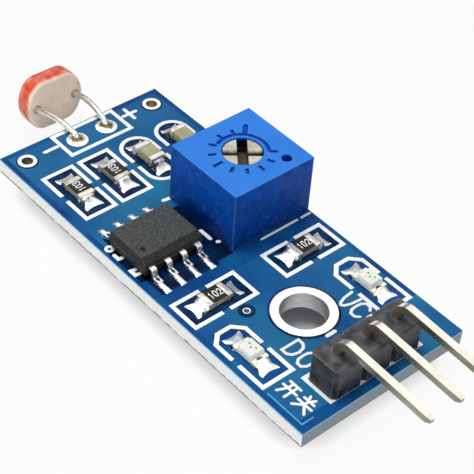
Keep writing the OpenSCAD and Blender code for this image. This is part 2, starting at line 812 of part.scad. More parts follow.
// Sheet-metal wiper: a round foot on the hub, one arm and a tip on the track
module trimmer_wiper() {
    tip = track_radius - wiper_tip_length / 2;
    color([0.8, 0.65, 0.3])
    at_trimmer() rotate([0, 0, wiper_angle]) {
        translate([0, 0, wiper_face]) {
            cylinder(r = hub_radius, h = wiper_thickness);
            translate([0, -wiper_arm_width / 2, 0])
                cube([track_radius + wiper_tip_length / 2, wiper_arm_width, wiper_thickness]);
        }
        translate([tip, -wiper_arm_width / 2, wiper_contact])
            cube([wiper_tip_length, wiper_arm_width, wiper_face - wiper_contact]);
        translate([0, 0, wiper_contact]) cylinder(r = wiper_pivot_radius, h = wiper_face - wiper_contact);
    }
}

module trimmer_seal() {
    color("black")
    at_trimmer() translate([0, 0, cavity_top - snug - seal_section / 2])
        rotate_extrude() translate([rotor_radius + running + seal_section / 2, 0]) circle(d = seal_section);
}

// Horseshoe of resistive film, with a round collector pad in its middle
module trimmer_track() {
    color([0.12, 0.12, 0.12])
    at_trimmer() translate([0, 0, substrate_face]) linear_extrude(height = track_thickness) {
        difference() {
            circle(r = track_radius + track_width / 2);
            circle(r = track_radius - track_width / 2);
            polygon(concat([[0, 0]], arc_points([0, 0], 2 * flange_radius,
                track_opening_angle - track_opening / 2, track_opening_angle + track_opening / 2)));
        }
        circle(r = collector_radius);
    }
}

module trimmer_substrate() {
    color([0.93, 0.92, 0.88])
    at_trimmer() translate([0, 0, substrate_floor])
        block(cavity_length - 2 * snug, cavity_width - 2 * snug, substrate_thickness);
}

module trimmer_filling() {
    color([0.2, 0.3, 0.4])
    at_trimmer() difference() {
        translate([0, 0, filling_recess])
            block(cavity_length - 2 * snug, cavity_width - 2 * snug, filling_thickness);
        for (place = trimmer_pin_places)
            translate([place[0], place[1], 0])
                cylinder(d = trimmer_pin_diameter + 2 * snug, h = substrate_floor + cut);
    }
}

module trimmer_pin(index) {
    length = board_top + substrate_floor - tail_end;
    color([0.85, 0.83, 0.76])
    at_trimmer() translate([trimmer_pin_places[index][0], trimmer_pin_places[index][1], tail_end - board_top])
        cylinder(d = trimmer_pin_diameter, h = length);
}

module trimmer_solder() {
    color("silver")
    for (i = [0:len(trimmer_pin_places) - 1])
        difference() {
            translate([trimmer_x + trimmer_pin_places[i][0], trimmer_y + trimmer_pin_places[i][1], 0])
                hole_solder(lead_hole_radius, trimmer_pin_diameter / 2 + plating, 0);
            trimmer_pin(i);
        }
}

// Comparator chip

module at_comparator() {
    on_board([comparator_x, comparator_y]) children();
}

// Repeats a lead of the right-hand row in both rows
module in_lead_rows() {
    for (turn = [0, 180])
        for (y = lead_rows)
            rotate([0, 0, turn]) translate([0, y, 0]) children();
}

// Side view of one gull-wing lead
module lead_profile() {
    half = lead_thickness / 2;
    upper = [upper_bend_x, lead_exit_height - lead_bend];
    lower = [lower_bend_x, lead_foot_level + lead_bend];
    root = comparator_width / 2 - lead_root;
    polygon(concat(
        [[root, lead_exit_height + half]],
        arc_points(upper, lead_bend + half, 90, 90 - lead_slope),
        arc_points(lower, lead_bend - half, -90 - lead_slope, -90),
        [[lead_tip, lead_foot_level + half], [lead_tip, lead_foot_level - half]],
        arc_points(lower, lead_bend + half, -90, -90 - lead_slope),
        arc_points(upper, lead_bend - half, 90 - lead_slope, 90),
        [[root, lead_exit_height - half]]));
}

module comparator_leads() {
    color([0.82, 0.82, 0.8]) at_comparator() in_lead_rows() across(lead_width) lead_profile();
}

// Section of the body across its rows of leads, with the bevel beside the first lead
module comparator_section() {
    half = comparator_width / 2;
    face = half - comparator_draft;
    polygon([
        [-face, comparator_standoff], [face, comparator_standoff], [half, lead_exit_height],
        [face + comparator_draft / 2, comparator_height - comparator_bevel],
        [face - comparator_bevel, comparator_height],
        [-face, comparator_height], [-half, lead_exit_height]]);
}

// Section of the body along its rows of leads
module comparator_end_section() {
    half = comparator_length / 2;
    face = half - comparator_draft;
    polygon([[-face, comparator_standoff], [face, comparator_standoff], [half, lead_exit_height],
        [face, comparator_height], [-face, comparator_height], [-half, lead_exit_height]]);
}

module comparator_body() {
    color([0.2, 0.19, 0.18])
    at_comparator() difference() {
        intersection() {
            across(comparator_length + cut) comparator_section();
            along(comparator_width + cut) comparator_end_section();
        }
        translate([dimple_place[0], dimple_place[1], comparator_height - dimple_depth])
            cylinder(r = dimple_radius, h = dimple_depth + cut);
        in_lead_rows() translate([comparator_width / 2 - lead_root, 0, lead_exit_height])
            translate([0, -lead_width / 2, -lead_thickness / 2])
                cube([lead_root + cut, lead_width, lead_thickness]);
    }
}

module comparator_solder() {
    color("silver")
    at_comparator() in_lead_rows() across(lead_solder_width)
        solder_section(lead_tip, lead_foot, lead_solder_toe, lead_thickness);
}

// Chip resistors, capacitors and lamps: their length runs along X and they stand on the solder

module at_place(place) {
    on_board(place, place[2]) children();
}

// Core of a chip part, which its end caps enclose
module chip_core(height) {
    translate([0, 0, solder_film + cap_wall])
        block(chip_length - 2 * cap_wall, chip_width - 2 * cap_wall, height - 2 * cap_wall);
}

// Metal cap on each end of a chip part
module chip_caps(height) {
    difference() {
        for (side = [-1, 1])
            translate([side * (chip_length - cap_length) / 2, 0, solder_film])
                block(cap_length, chip_width, height);
        chip_core(height);
    }
}

// Solder under both ends of a chip part, rising to a given height on its ends
module chip_solder(rise) {
    for (turn = [0, 180])
        rotate([0, 0, turn]) across(solder_width)
            solder_section(chip_length / 2, cap_length, solder_toe, rise);
}

module resistor_body(index) {
    color([0.93, 0.92, 0.9]) at_place(resistor_places[index]) chip_core(resistor_height);
}

module resistor_caps(index) {
    color("silver") at_place(resistor_places[index]) chip_caps(resistor_height);
}

// Glaze between the end caps, with sloped ends
module resistor_glaze(index) {
    foot = chip_length / 2 - cap_length - snug;
    level = solder_film + resistor_height - cap_wall;
    color([0.1, 0.1, 0.1])
    at_place(resistor_places[index]) translate([0, 0, level])
        across(chip_width - 2 * cap_wall)
            polygon([[-foot, 0], [foot, 0], [foot - glaze_thickness, glaze_thickness],
                [glaze_thickness - foot, glaze_thickness]]);
}

module resistor_solder() {
    color("silver") for (place = resistor_places) at_place(place) chip_solder(resistor_solder_rise);
}

module capacitor_body(index) {
    color([0.72, 0.62, 0.44]) at_place(capacitor_places[index]) chip_core(capacitor_height);
}

module capacitor_caps(index) {
    color("silver") at_place(capacitor_places[index]) chip_caps(capacitor_height);
}

module capacitor_solder() {
    color("silver") for (place = capacitor_places) at_place(place) chip_solder(capacitor_solder_rise);
}

// Half-round notches in the ends of a lamp
module lamp_notches(radius) {
    for (side = [-1, 1])
        translate([side * chip_length / 2, 0, 0])
            cylinder(r = radius, h = solder_film + lamp_base_height + cut);
}

module lamp_core() {
    difference() {
        chip_core(lamp_base_height);
        lamp_notches(lamp_notch_radius + cap_wall);
    }
}

module lamp_base(index) {
    color([0.9, 0.9, 0.82]) at_place(lamp_places[index]) lamp_core();
}

module lamp_terminals(index) {
    length = (chip_length - lamp_lens_length) / 2 - snug;
    color("silver")
    at_place(lamp_places[index]) difference() {
        for (side = [-1, 1])
            translate([side * (chip_length - length) / 2, 0, solder_film])
                block(length, chip_width, lamp_base_height);
        lamp_core();
        lamp_notches(lamp_notch_radius);
    }
}

module lamp_die(index) {
    color([0.3, 0.3, 0.25])
    at_place(lamp_places[index]) translate([0, 0, solder_film + lamp_base_height - cap_wall])
        block(lamp_die_side, lamp_die_side, lamp_die_height);
}

// Tapered section of a lens on one half width
module lens_section(half) {
    top = half - lamp_lens_draft;
    polygon([[-half, 0], [half, 0], [top, lamp_lens_height], [-top, lamp_lens_height]]);
}

module lamp_lens(index) {
    color([0.95, 0.93, 0.8, 0.7])
    difference() {
        at_place(lamp_places[index]) translate([0, 0, solder_film + lamp_base_height - cap_wall])
            intersection() {
                across(chip_width) lens_section(lamp_lens_length / 2);
                along(chip_length) lens_section(chip_width / 2 - cap_wall);
            }
        lamp_die(index);
    }
}

module lamp_solder() {
    color("silver") for (place = lamp_places) at_place(place) chip_solder(lamp_solder_rise);
}

// Header

// Outline of one segment of the block, with chamfered corners
module segment_outline() {
    x = block_width / 2;
    y = pin_pitch / 2;
    c = block_chamfer / 2;
    polygon([[x - c, -y], [x, c - y], [x, y - c], [x - c, y],
        [c - x, y], [-x, y - c], [-x, c - y], [c - x, -y]]);
}

// Section of the block, with chamfered top edges
module block_section() {
    x = block_width / 2;
    polygon([[-x, 0], [x, 0], [x, block_height - block_edge], [x - block_edge, block_height],
        [block_edge - x, block_height], [-x, block_height - block_edge]]);
}

module header_block() {
    color([0.08, 0.08, 0.09])
    translate([header_x, 0, block_floor]) difference() {
        intersection() {
            for (y = pin_rows) translate([0, y, 0]) linear_extrude(height = block_height) segment_outline();
            across(pin_count * pin_pitch + cut) block_section();
        }
        for (y = pin_rows)
            translate([0, y, -cut]) block(pin_side + 2 * snug, pin_side + 2 * snug, block_height + 2 * cut);
    }
}

// Side view of a pin's straight run, with a tapered tip
module pin_run_section() {
    half = pin_side / 2;
    tip = pin_tip_side / 2;
    shoulder = pin_run - pin_taper;
    polygon([[0, -half], [shoulder, -half], [pin_run, -tip], [pin_run, tip], [shoulder, half], [0, half]]);
}

// Square pin: a tail through the board, a bend and a tapered run
module header_pin(index) {
    bend_angle = 90 + pin_droop;
    color([0.9, 0.87, 0.76])
    translate([header_x, pin_rows[index], 0]) {
        translate([0, 0, tail_end]) block(pin_side, pin_side, pin_bend_level - tail_end);
        translate([pin_bend, 0, pin_bend_level]) {
            rotate([90, 0, 0]) rotate([0, 0, 180 - bend_angle])
                rotate_extrude(angle = bend_angle) translate([pin_bend, 0]) square(pin_side, center = true);
            rotate([0, pin_droop, 0]) translate([0, 0, pin_bend]) intersection() {
                across(pin_side) pin_run_section();
                rotate([90, 0, 0]) across(pin_side) pin_run_section();
            }
        }
    }
}

module header_solder() {
    color("silver")
    for (i = [0:pin_count - 1])
        difference() {
            translate([header_x, pin_rows[i], 0]) hole_solder(pin_hole_radius, pin_side / 2 + plating, 0);
            header_pin(i);
        }
}

circuit_board();
board_legend();
mounting_hole_plating();
for (i = [1:2])
    corner_hole_plating(i - 1);
sensor_base();
sensor_track();
sensor_electrodes();
sensor_resin();
for (i = [1:2])
    sensor_lead(i - 1);
for (i = [1:2])
    sensor_solder(i - 1);
trimmer_case();
trimmer_rotor();
trimmer_wiper();
trimmer_seal();
trimmer_track();
trimmer_substrate();
trimmer_filling();
for (i = [1:3])
    trimmer_pin(i - 1);
trimmer_solder();
comparator_body();
comparator_leads();
comparator_solder();
for (i = [1:4])
    resistor_body(i - 1);
for (i = [1:4])
    resistor_glaze(i - 1);
for (i = [1:4])
    resistor_caps(i - 1);
resistor_solder();
for (i = [1:2])
    capacitor_body(i - 1);
for (i = [1:2])
    capacitor_caps(i - 1);
capacitor_solder();
for (i = [1:2])
    lamp_base(i - 1);
for (i = [1:2])
    lamp_terminals(i - 1);
for (i = [1:2])
    lamp_die(i - 1);
for (i = [1:2])
    lamp_lens(i - 1);
lamp_solder();
header_block();
for (i = [1:pin_count])
    header_pin(i - 1);
header_solder();
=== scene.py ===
"""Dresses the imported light-sensor module and lights it as on a studio table.

The classes hold their sizes in millimetres, in the frame of the part: X runs from the photoresistor
to the header, Y across the board and Z up from the board's underside. Meshes are made in metres.
"""

import logging
import math
import random
from collections.abc import Iterable, Sequence
from dataclasses import dataclass, field, replace
from enum import Enum

import bmesh
import bpy
from mathutils import Matrix, Quaternion, Vector


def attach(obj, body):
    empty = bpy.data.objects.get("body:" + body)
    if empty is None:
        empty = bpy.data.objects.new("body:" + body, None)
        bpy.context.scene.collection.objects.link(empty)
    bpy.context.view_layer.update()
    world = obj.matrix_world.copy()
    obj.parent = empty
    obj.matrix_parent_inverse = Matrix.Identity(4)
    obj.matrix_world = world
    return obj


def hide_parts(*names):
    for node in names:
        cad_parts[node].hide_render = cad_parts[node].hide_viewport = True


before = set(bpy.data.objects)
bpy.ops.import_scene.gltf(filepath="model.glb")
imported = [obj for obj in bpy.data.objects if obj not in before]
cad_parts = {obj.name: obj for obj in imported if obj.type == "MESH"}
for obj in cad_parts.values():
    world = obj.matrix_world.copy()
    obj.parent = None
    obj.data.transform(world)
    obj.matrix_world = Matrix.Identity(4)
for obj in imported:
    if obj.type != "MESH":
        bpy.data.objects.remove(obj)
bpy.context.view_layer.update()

LOG = logging.getLogger("light_sensor")
MM = 0.001
MODULE = "module"
BOARD_TOP = 1.2

# Edges turned by less than this angle are smooth, and points within this many metres are joined.
SHARP = math.radians(38)
WELD = 1e-8

Colour = tuple[float, float, float]
Point2 = tuple[float, float]
Point3 = tuple[float, float, float]
Place = tuple[float, float, float]
Box = tuple[Point2, Point2]
Path = Sequence[Point2]
Socket = bpy.types.NodeSocket
MADE: dict[str, bpy.types.Material] = {}

# Station, row and turn of each chip part.
RESISTORS: tuple[Place, ...] = ((-18.2, -1.53, 0), (-18.2, -4.63, 0), (-4.35, 3.9, 90), (-4.35, -3.9, 90))
CAPACITORS: tuple[Place, ...] = ((-18.2, 4.8, 0), (-18.2, 1.6, 0))
LAMPS: tuple[Place, ...] = ((0.7, -5.2, 0), (0.7, 5.2, 0))

# Ranges of noise, or of a surface's direction, over which a finish changes.
MOTTLE: Point2 = (0.32, 0.7)
UNEVEN: Point2 = (0.3, 0.7)
BROKEN: Point2 = (0.3, 0.6)
MIDDLE: Point2 = (0.4, 0.6)
NEAR_AN_EDGE: Point2 = (0.995, 0.86)

# Layers of the finer kinds of noise.
FINE, FINER = 4, 5

# Values that all finishes share.
BEVEL_SAMPLES = 6
LEAST_ROUGHNESS = 0.02
COAT_ROUGHNESS = 0.06
SUBSURFACE_REACH = 0.4

# Steps of curves, and the limits of a mitred corner.
SMALL_STEPS = 24
END_STEPS = 14
CAP_STEPS = 6
QUARTER = tuple(math.radians(a) for a in range(0, 91, 15))
MITRE_LIMIT, LEAST_MITRE = 1.6, 0.3

# The step in height that keeps the tops of crossing lines apart.
LAYER = 0.001


class Slot(Enum):
    """The record's slots that the finishes of new pieces belong to."""

    BOARD_MASK = "board_mask"
    LEGEND_INK = "legend_ink"
    HOLE_PLATING = "hole_plating"
    SENSOR_CERAMIC = "sensor_ceramic"
    SENSOR_RESIN = "sensor_resin"
    SOLDER = "solder"
    LAMP_DIE = "lamp_die"


class Sheet:
    """The node sheet of one material, with short calls for the nodes that the finishes use."""

    def __init__(self, name: str) -> None:
        """Starts a material with its shader and its place coordinates.

        Args:
            name: the material's name.
        """
        self.material = bpy.data.materials.new(name)
        self.material.use_nodes = True
        tree = self.material.node_tree
        self.nodes, self.links = tree.nodes, tree.links
        self.shader = self.nodes["Principled BSDF"]
        self.place = self.nodes.new("ShaderNodeTexCoord").outputs["Object"]
        self.facing = self.nodes.new("ShaderNodeNewGeometry").outputs["Normal"]

    def put(self, socket: Socket, value: object) -> None:
        """Links a socket to another one, or sets its constant.

        Args:
            socket: the input.
            value: the other socket, or the constant.
        """
        if isinstance(value, bpy.types.NodeSocket):
            self.links.new(value, socket)
        else:
            socket.default_value = value

    def set(self, **inputs: object) -> None:
        """Sets inputs of the shader, named with underscores for spaces."""
        for name, value in inputs.items():
            self.put(self.shader.inputs[name.replace("_", " ")], value)

    def node(self, kind: str, inputs: dict[int | str, object], **settings: object) -> bpy.types.Node:
        """Adds a node.

        Args:
            kind: the node's type.
            inputs: values or sockets by the input's name or number.
            settings: the node's own options.

        Returns:
            The new node.
        """
        made = self.nodes.new(kind)
        for name, value in settings.items():
            setattr(made, name, value)
        for key, value in inputs.items():
            self.put(made.inputs[key], value)
        return made

    def noise(self, per_mm: float, detail: float = 3, stretch: Point3 = (1, 1, 1)) -> Socket:
        """Soft noise, from 0 to 1.

        Args:
            per_mm: how many patches there are in a millimetre.
            detail: how many finer layers it has.
            stretch: factors on the three axes.

        Returns:
            The noise's value.
        """
        spread = self.node("ShaderNodeVectorMath", {0: self.place, 1: stretch}, operation="MULTIPLY")
        return self.node("ShaderNodeTexNoise", {
            "Vector": spread.outputs[0], "Scale": per_mm / MM, "Detail": detail}).outputs[0]

    def mix(self, share: Socket | float, first: object, second: object) -> Socket:
        """A colour between two colours."""
        ends = [(*c, 1) if isinstance(c, tuple) else c for c in (first, second)]
        return self.node("ShaderNodeMix", {0: share, 6: ends[0], 7: ends[1]}, data_type="RGBA").outputs[2]

    def span(self, value: Socket, low: float, high: float, first: float = 0, last: float = 1) -> Socket:
        """Maps the range low to high of a value on to first to last, and clamps it there."""
        return self.node("ShaderNodeMapRange", {0: value, 1: low, 2: high, 3: first, 4: last}).outputs[0]

    def math(self, operation: str, first: object, second: object) -> Socket:
        """Joins two values by a sum, product or the like."""
        return self.node("ShaderNodeMath", {0: first, 1: second}, operation=operation).outputs[0]

    def axes(self, vector: Socket) -> list[Socket]:
        """The three numbers of a vector."""
        return list(self.node("ShaderNodeSeparateXYZ", {0: vector}).outputs)

    def along(self, direction: Vector, origin: Vector) -> Socket:
        """The distance in metres along a direction from a point given in millimetres."""
        reach = self.node("ShaderNodeVectorMath", {0: self.place, 1: direction}, operation="DOT_PRODUCT")
        return self.math("SUBTRACT", reach.outputs["Value"], direction.dot(origin) * MM)

    def level(self, low: float, high: float) -> Socket:
        """From 0 to 1 between two heights in millimetres."""
        return self.span(self.axes(self.place)[2], low * MM, high * MM)

    def upward(self, low: float, high: float) -> Socket:
        """From 0 to 1 as the surface turns to face up."""
        return self.span(self.axes(self.facing)[2], low, high)

    def flat(self) -> Socket:
        """1 on faces that look up or down, and 0 on walls."""
        return self.span(self.math("ABSOLUTE", self.axes(self.facing)[2], 0), *MIDDLE)

    def patchy(self, per_mm: float, reach: Point2, detail: float = 3, share: float = 1) -> Socket:
        """Soft patches, from 0 to a share, where the noise lies in a range."""
        return self.span(self.noise(per_mm, detail), *reach, 0, share)

    def ragged(self, value: Socket, sway: float, per_mm: float, detail: float = 3,
               reach: Point2 = UNEVEN) -> Socket:
        """A distance in metres that noise makes uneven, by a sway in millimetres to both sides."""
        noise = self.span(self.noise(per_mm, detail), *reach, -sway * MM, sway * MM)
        return self.math("ADD", value, noise)

    def squares(self, first: Socket, second: Socket) -> Socket:
        """The sum of the squares of two values."""
        return self.math("ADD", *(self.math("POWER", value, 2) for value in (first, second)))

    def rounded(self, radius: float) -> Socket:
        """The surface direction with edges rounded to a radius in millimetres."""
        return self.node("ShaderNodeBevel", {"Radius": radius * MM}, samples=BEVEL_SAMPLES).outputs[0]

    def edges(self, radius: float) -> Socket:
        """How close the surface is to an edge, from 0 to 1."""
        turn = self.node("ShaderNodeVectorMath", {0: self.rounded(radius), 1: self.facing},
                         operation="DOT_PRODUCT")
        return self.span(turn.outputs["Value"], *NEAR_AN_EDGE)

    def bump(self, height: Socket, depth: float, normal: Socket | None = None) -> Socket:
        """The surface direction over small bumps.

        Args:
            height: the bumps' height, from 0 to 1.
            depth: their depth, in millimetres.
            normal: the direction of the surface under them, where it is rounded.

        Returns:
            The direction's socket.
        """
        inputs = {"Strength": 1.0, "Distance": depth * MM, "Height": height}
        if normal is not None:
            inputs["Normal"] = normal
        return self.node("ShaderNodeBump", inputs).outputs[0]


@dataclass(frozen=True)
class Finish:
    """A plain surface: mottled colour, grain, gloss and rounded edges that wearing and painted highlight can
    make lighter.

    Lengths are in millimetres and scales in patches per millimetre.
    """

    name: str
    colour: Colour
    shade: Colour
    roughness: float = 0.4
    spread: float = 0.12
    metallic: float = 0.0
    patches: float = 0.9
    grain: float = 14.0
    depth: float = 0.004
    edge: float = 0.05
    wear_and_highlight: float = 0.0
    wear_and_highlight_colour: Colour = (0.9, 0.9, 0.9)
    specular: float = 0.5
    coat: float = 0.0
    transmission: float = 0.0
    subsurface: float = 0.0
    gloss_patches: float = 3

    def tint(self, sheet: Sheet) -> Socket:
        """The colour over the surface, before wear."""
        return sheet.mix(sheet.patchy(self.patches, MOTTLE), self.colour, self.shade)

    def relief(self, sheet: Sheet) -> Socket:
        """The height of the fine grain."""
        return sheet.noise(self.grain, FINE)

    def worn_and_highlit(self, sheet: Sheet, grain: Socket) -> Socket:
        """The share of wearing and painted highlight over the surface, broken up by its grain."""
        near = sheet.math("MULTIPLY", sheet.edges(2 * self.edge), self.wear_and_highlight)
        return sheet.math("MULTIPLY", near, sheet.span(grain, *BROKEN))

    def material(self) -> bpy.types.Material:
        """Makes the material, or finds it if it is made already.

        Returns:
            The material of this finish.
        """
        if self.name in MADE:
            return MADE[self.name]
        sheet = Sheet(self.name)
        MADE[self.name] = sheet.material
        grain = self.relief(sheet)
        colour = self.tint(sheet)
        if self.wear_and_highlight > 0:
            colour = sheet.mix(self.worn_and_highlit(sheet, grain), colour, self.wear_and_highlight_colour)
        sheet.set(Base_Color=colour, Metallic=self.metallic, Specular_IOR_Level=self.specular,
                  Coat_Weight=self.coat, Coat_Roughness=COAT_ROUGHNESS, Transmission_Weight=self.transmission,
                  Subsurface_Weight=self.subsurface, Subsurface_Scale=SUBSURFACE_REACH * MM)
        sheet.set(Roughness=sheet.span(sheet.noise(self.gloss_patches * self.patches), *UNEVEN,
                                       max(LEAST_ROUGHNESS, self.roughness - self.spread),
                                       min(1, self.roughness + self.spread)))
        normal = sheet.rounded(self.edge) if self.edge > 0 else None
        sheet.set(Normal=sheet.bump(grain, self.depth, normal))
        return sheet.material


@dataclass(frozen=True)
class BoardFinish(Finish):
    """Blue mask on the faces of the board and bare laminate on its cut edges, with painted shade on the edges
    that face +X and a painted shadow along the foot of the edges.
    """

    laminate: Colour = (0.93, 0.94, 0.93)
    laminate_shade: Colour = (0.80, 0.82, 0.82)
    fibres: float = 5
    fibre_stretch: Point3 = (0.6, 0.6, 3)
    fibre_range: Point2 = (0.42, 0.62)
    # Painted shade: the edges that face +X are darker grey-blue.
    shaded_edge: Colour = (0.32, 0.38, 0.44)
    shaded_edge_dark: Colour = (0.192, 0.228, 0.264)
    shaded_edge_patches: float = 6
    rim: Colour = (0.26, 0.50, 0.78)
    rim_depths: Point2 = (0.16, 0.1)
    # Painted shadow: a ragged dark line along the foot of the edges.
    edge_foot_shadow: Colour = (0.26, 0.26, 0.23)
    edge_foot_shadow_heights: Point2 = (0.14, 0.08)
    edge_foot_shadow_sway: float = 0.08
    edge_foot_shadow_patches: float = 1.6
    weave: float = 2.2
    weave_turn: float = 6.28
    weave_sway: float = 1.5

    def tint(self, sheet: Sheet) -> Socket:
        """Mask on the faces, laminate on the edges, and a pale rim where the two meet, with painted shade on
        the edges that face +X and a ragged painted shadow along their foot.

        Args:
            sheet: the material's node sheet.

        Returns:
            The colour's socket.
        """
        mask = super().tint(sheet)
        fibres = sheet.span(sheet.noise(self.fibres, stretch=self.fibre_stretch), *self.fibre_range)
        laminate_edge = sheet.mix(fibres, self.laminate, self.laminate_shade)
        shaded_edge = sheet.mix(sheet.noise(self.shaded_edge_patches), self.shaded_edge, self.shaded_edge_dark)
        edge = sheet.mix(sheet.span(sheet.axes(sheet.facing)[0], *MIDDLE), laminate_edge, shaded_edge)
        edge = sheet.mix(sheet.level(*(BOARD_TOP - depth for depth in self.rim_depths)), edge, self.rim)
        ragged = sheet.ragged(sheet.axes(sheet.place)[2], self.edge_foot_shadow_sway, self.edge_foot_shadow_patches)
        edge_foot_shadowed = sheet.span(ragged, *(height * MM for height in self.edge_foot_shadow_heights))
        return sheet.mix(sheet.flat(), sheet.mix(edge_foot_shadowed, edge, self.edge_foot_shadow), mask)

    def relief(self, sheet: Sheet) -> Socket:
        """The glass weave under the mask.

        Args:
            sheet: the material's node sheet.

        Returns:
            The height of the weave and the grain.
        """
        inputs = {"Vector": sheet.place, "Scale": self.weave / MM / self.weave_turn,
                  "Distortion": self.weave_sway}
        threads = [sheet.node("ShaderNodeTexWave", inputs, bands_direction=axis).outputs[1]
                   for axis in ("X", "Y")]
        return sheet.math("ADD", sheet.math("MULTIPLY", *threads), sheet.noise(self.grain))


@dataclass(frozen=True)
class ShellFinish(Finish):
    """Blue moulding with painted shade: darker in its sunk marks, its recess and its rotor opening, and on
    its walls, most at their foot, with paler flecks of painted highlight on the walls.
    """

    # Painted shade in the sunk marks and the recess, and deeper painted shade in the rotor opening.
    groove: Colour = (0.004, 0.064, 0.42)
    groove_depths: Point2 = (0.01, 0.05)
    floor_depths: Point2 = (0.62, 0.58)
    pit: Colour = (0.001, 0.007, 0.045)
    pit_depths: Point2 = (0.1, 0.2)
    # Painted shade: the walls are darker than the top.
    side: Colour = (0.003, 0.080, 0.42)
    side_shade: Colour = (0.002, 0.052, 0.32)
    side_patches: float = 0.9
    side_range: Point2 = (0.36, 0.64)
    # Painted highlight: paler flecks on the walls.
    side_fleck: Colour = (0.010, 0.130, 0.52)
    fleck_patches: float = 2.4
    fleck_range: Point2 = (0.54, 0.72)
    fleck_share: float = 0.6
    # Painted shade that darkens the walls towards the board.
    foot: Colour = (0.001, 0.030, 0.20)
    foot_depth: float = 1.0
    turning: Point2 = (0.5, 0.9)
    top: float = 0.0
    axis: Point2 = (0.0, 0.0)
    opening: float = 0.0
    marked_radius: float = 3.3

    def within(self, sheet: Sheet, radius: float) -> Socket:
        """1 nearer to the rotor's axis than a radius, and 0 beyond it.

        Args:
            sheet: the material's node sheet.
            radius: the radius, in millimetres.

        Returns:
            The share's socket.
        """
        places = zip(sheet.axes(sheet.place), self.axis)
        across = [sheet.math("SUBTRACT", value, centre * MM) for value, centre in places]
        return sheet.math("LESS_THAN", sheet.squares(*across), (radius * MM) ** 2)

    def below(self, sheet: Sheet, depths: Point2) -> Socket:
        """From 0 to 1 between two depths below the top."""
        return sheet.level(*(self.top - depth for depth in depths))

    def worn_and_highlit(self, sheet: Sheet, grain: Socket) -> Socket:
        """Painted highlight and wearing on the outer edges, and none among the sunk marks."""
        outside = sheet.math("SUBTRACT", 1.0, self.within(sheet, self.marked_radius))
        return sheet.math("MULTIPLY", super().worn_and_highlit(sheet, grain), outside)

    def tint(self, sheet: Sheet) -> Socket:
        """The moulding's colour, with painted shade in the marks in the top, in the rotor opening and on the
        walls, and flecks of painted highlight on the walls.

        Args:
            sheet: the material's node sheet.

        Returns:
            The colour's socket.
        """
        shades = sheet.patchy(self.side_patches, self.side_range, FINER)
        flecks = sheet.patchy(self.fleck_patches, self.fleck_range, FINER, self.fleck_share)
        walls = sheet.mix(shades, self.side, self.side_shade)
        walls = sheet.mix(sheet.level(BOARD_TOP, self.top - self.foot_depth), self.foot, walls)
        walls = sheet.mix(flecks, walls, self.side_fleck)
        upward = sheet.upward(*self.turning)
        plain = sheet.mix(upward, walls, super().tint(sheet))
        sunk = sheet.math("MULTIPLY", self.below(sheet, self.groove_depths),
                          self.below(sheet, self.floor_depths))
        deep = sheet.math("MULTIPLY", self.within(sheet, self.opening), self.below(sheet, self.pit_depths))
        marked = sheet.mix(sheet.math("MULTIPLY", sunk, upward), plain, self.groove)
        return sheet.mix(deep, marked, self.pit)


@dataclass(frozen=True)
class RotorFinish(Finish):
    """Pale moulding with painted shade that darkens its slots with depth."""

    # Painted shade in the slots.
    slot_shade: Colour = (0.075, 0.058, 0.040)
    face: float = 0.0
    unshaded_depth: float = 0.03
    fully_shaded_depth: float = 0.34
    sway: float = 0.1
    sway_patches: float = 3

    def tint(self, sheet: Sheet) -> Socket:
        """The moulding's colour, darkened by painted shade with the depth below its face.

        Args:
            sheet: the material's node sheet.

        Returns:
            The colour's socket.
        """
        height = sheet.ragged(sheet.axes(sheet.place)[2], self.sway, self.sway_patches)
        unshaded_height, shaded_height = ((self.face - depth) * MM for depth in (self.unshaded_depth, self.fully_shaded_depth))
        return sheet.mix(sheet.span(height, unshaded_height, shaded_height), super().tint(sheet), self.slot_shade)


@dataclass(frozen=True)
class RingFinish(Finish):
    """Tinned rings with a duller barrel through the board."""

    barrel: Colour = (0.95, 0.95, 0.94)
    barrel_shade: float = 0.7
    barrel_patches: float = 4

    def tint(self, sheet: Sheet) -> Socket:
        """Bright on the faces of the board and dull in the hole.

        Args:
            sheet: the material's node sheet.

        Returns:
            The colour's socket.
        """
        shade = tuple(self.barrel_shade * part for part in self.barrel)
        dull = sheet.mix(sheet.noise(self.barrel_patches, FINE), self.barrel, shade)
        return sheet.mix(sheet.flat(), dull, super().tint(sheet))


@dataclass(frozen=True)
class SideShadedFinish(Finish):
    """A surface with painted shade that makes its sides darker than its upper faces."""

    # Painted shade on the walls.
    side: Colour = (0.5, 0.5, 0.5)
    side_shade: Colour = (0.4, 0.4, 0.4)
    turning: Point2 = (0.35, 0.75)

    def tint(self, sheet: Sheet) -> Socket:
        """The upper colour above, and the painted shade of the side colour on the walls."""
        walls = sheet.mix(sheet.patchy(self.patches, MOTTLE), self.side, self.side_shade)
        return sheet.mix(sheet.upward(*self.turning), walls, super().tint(sheet))


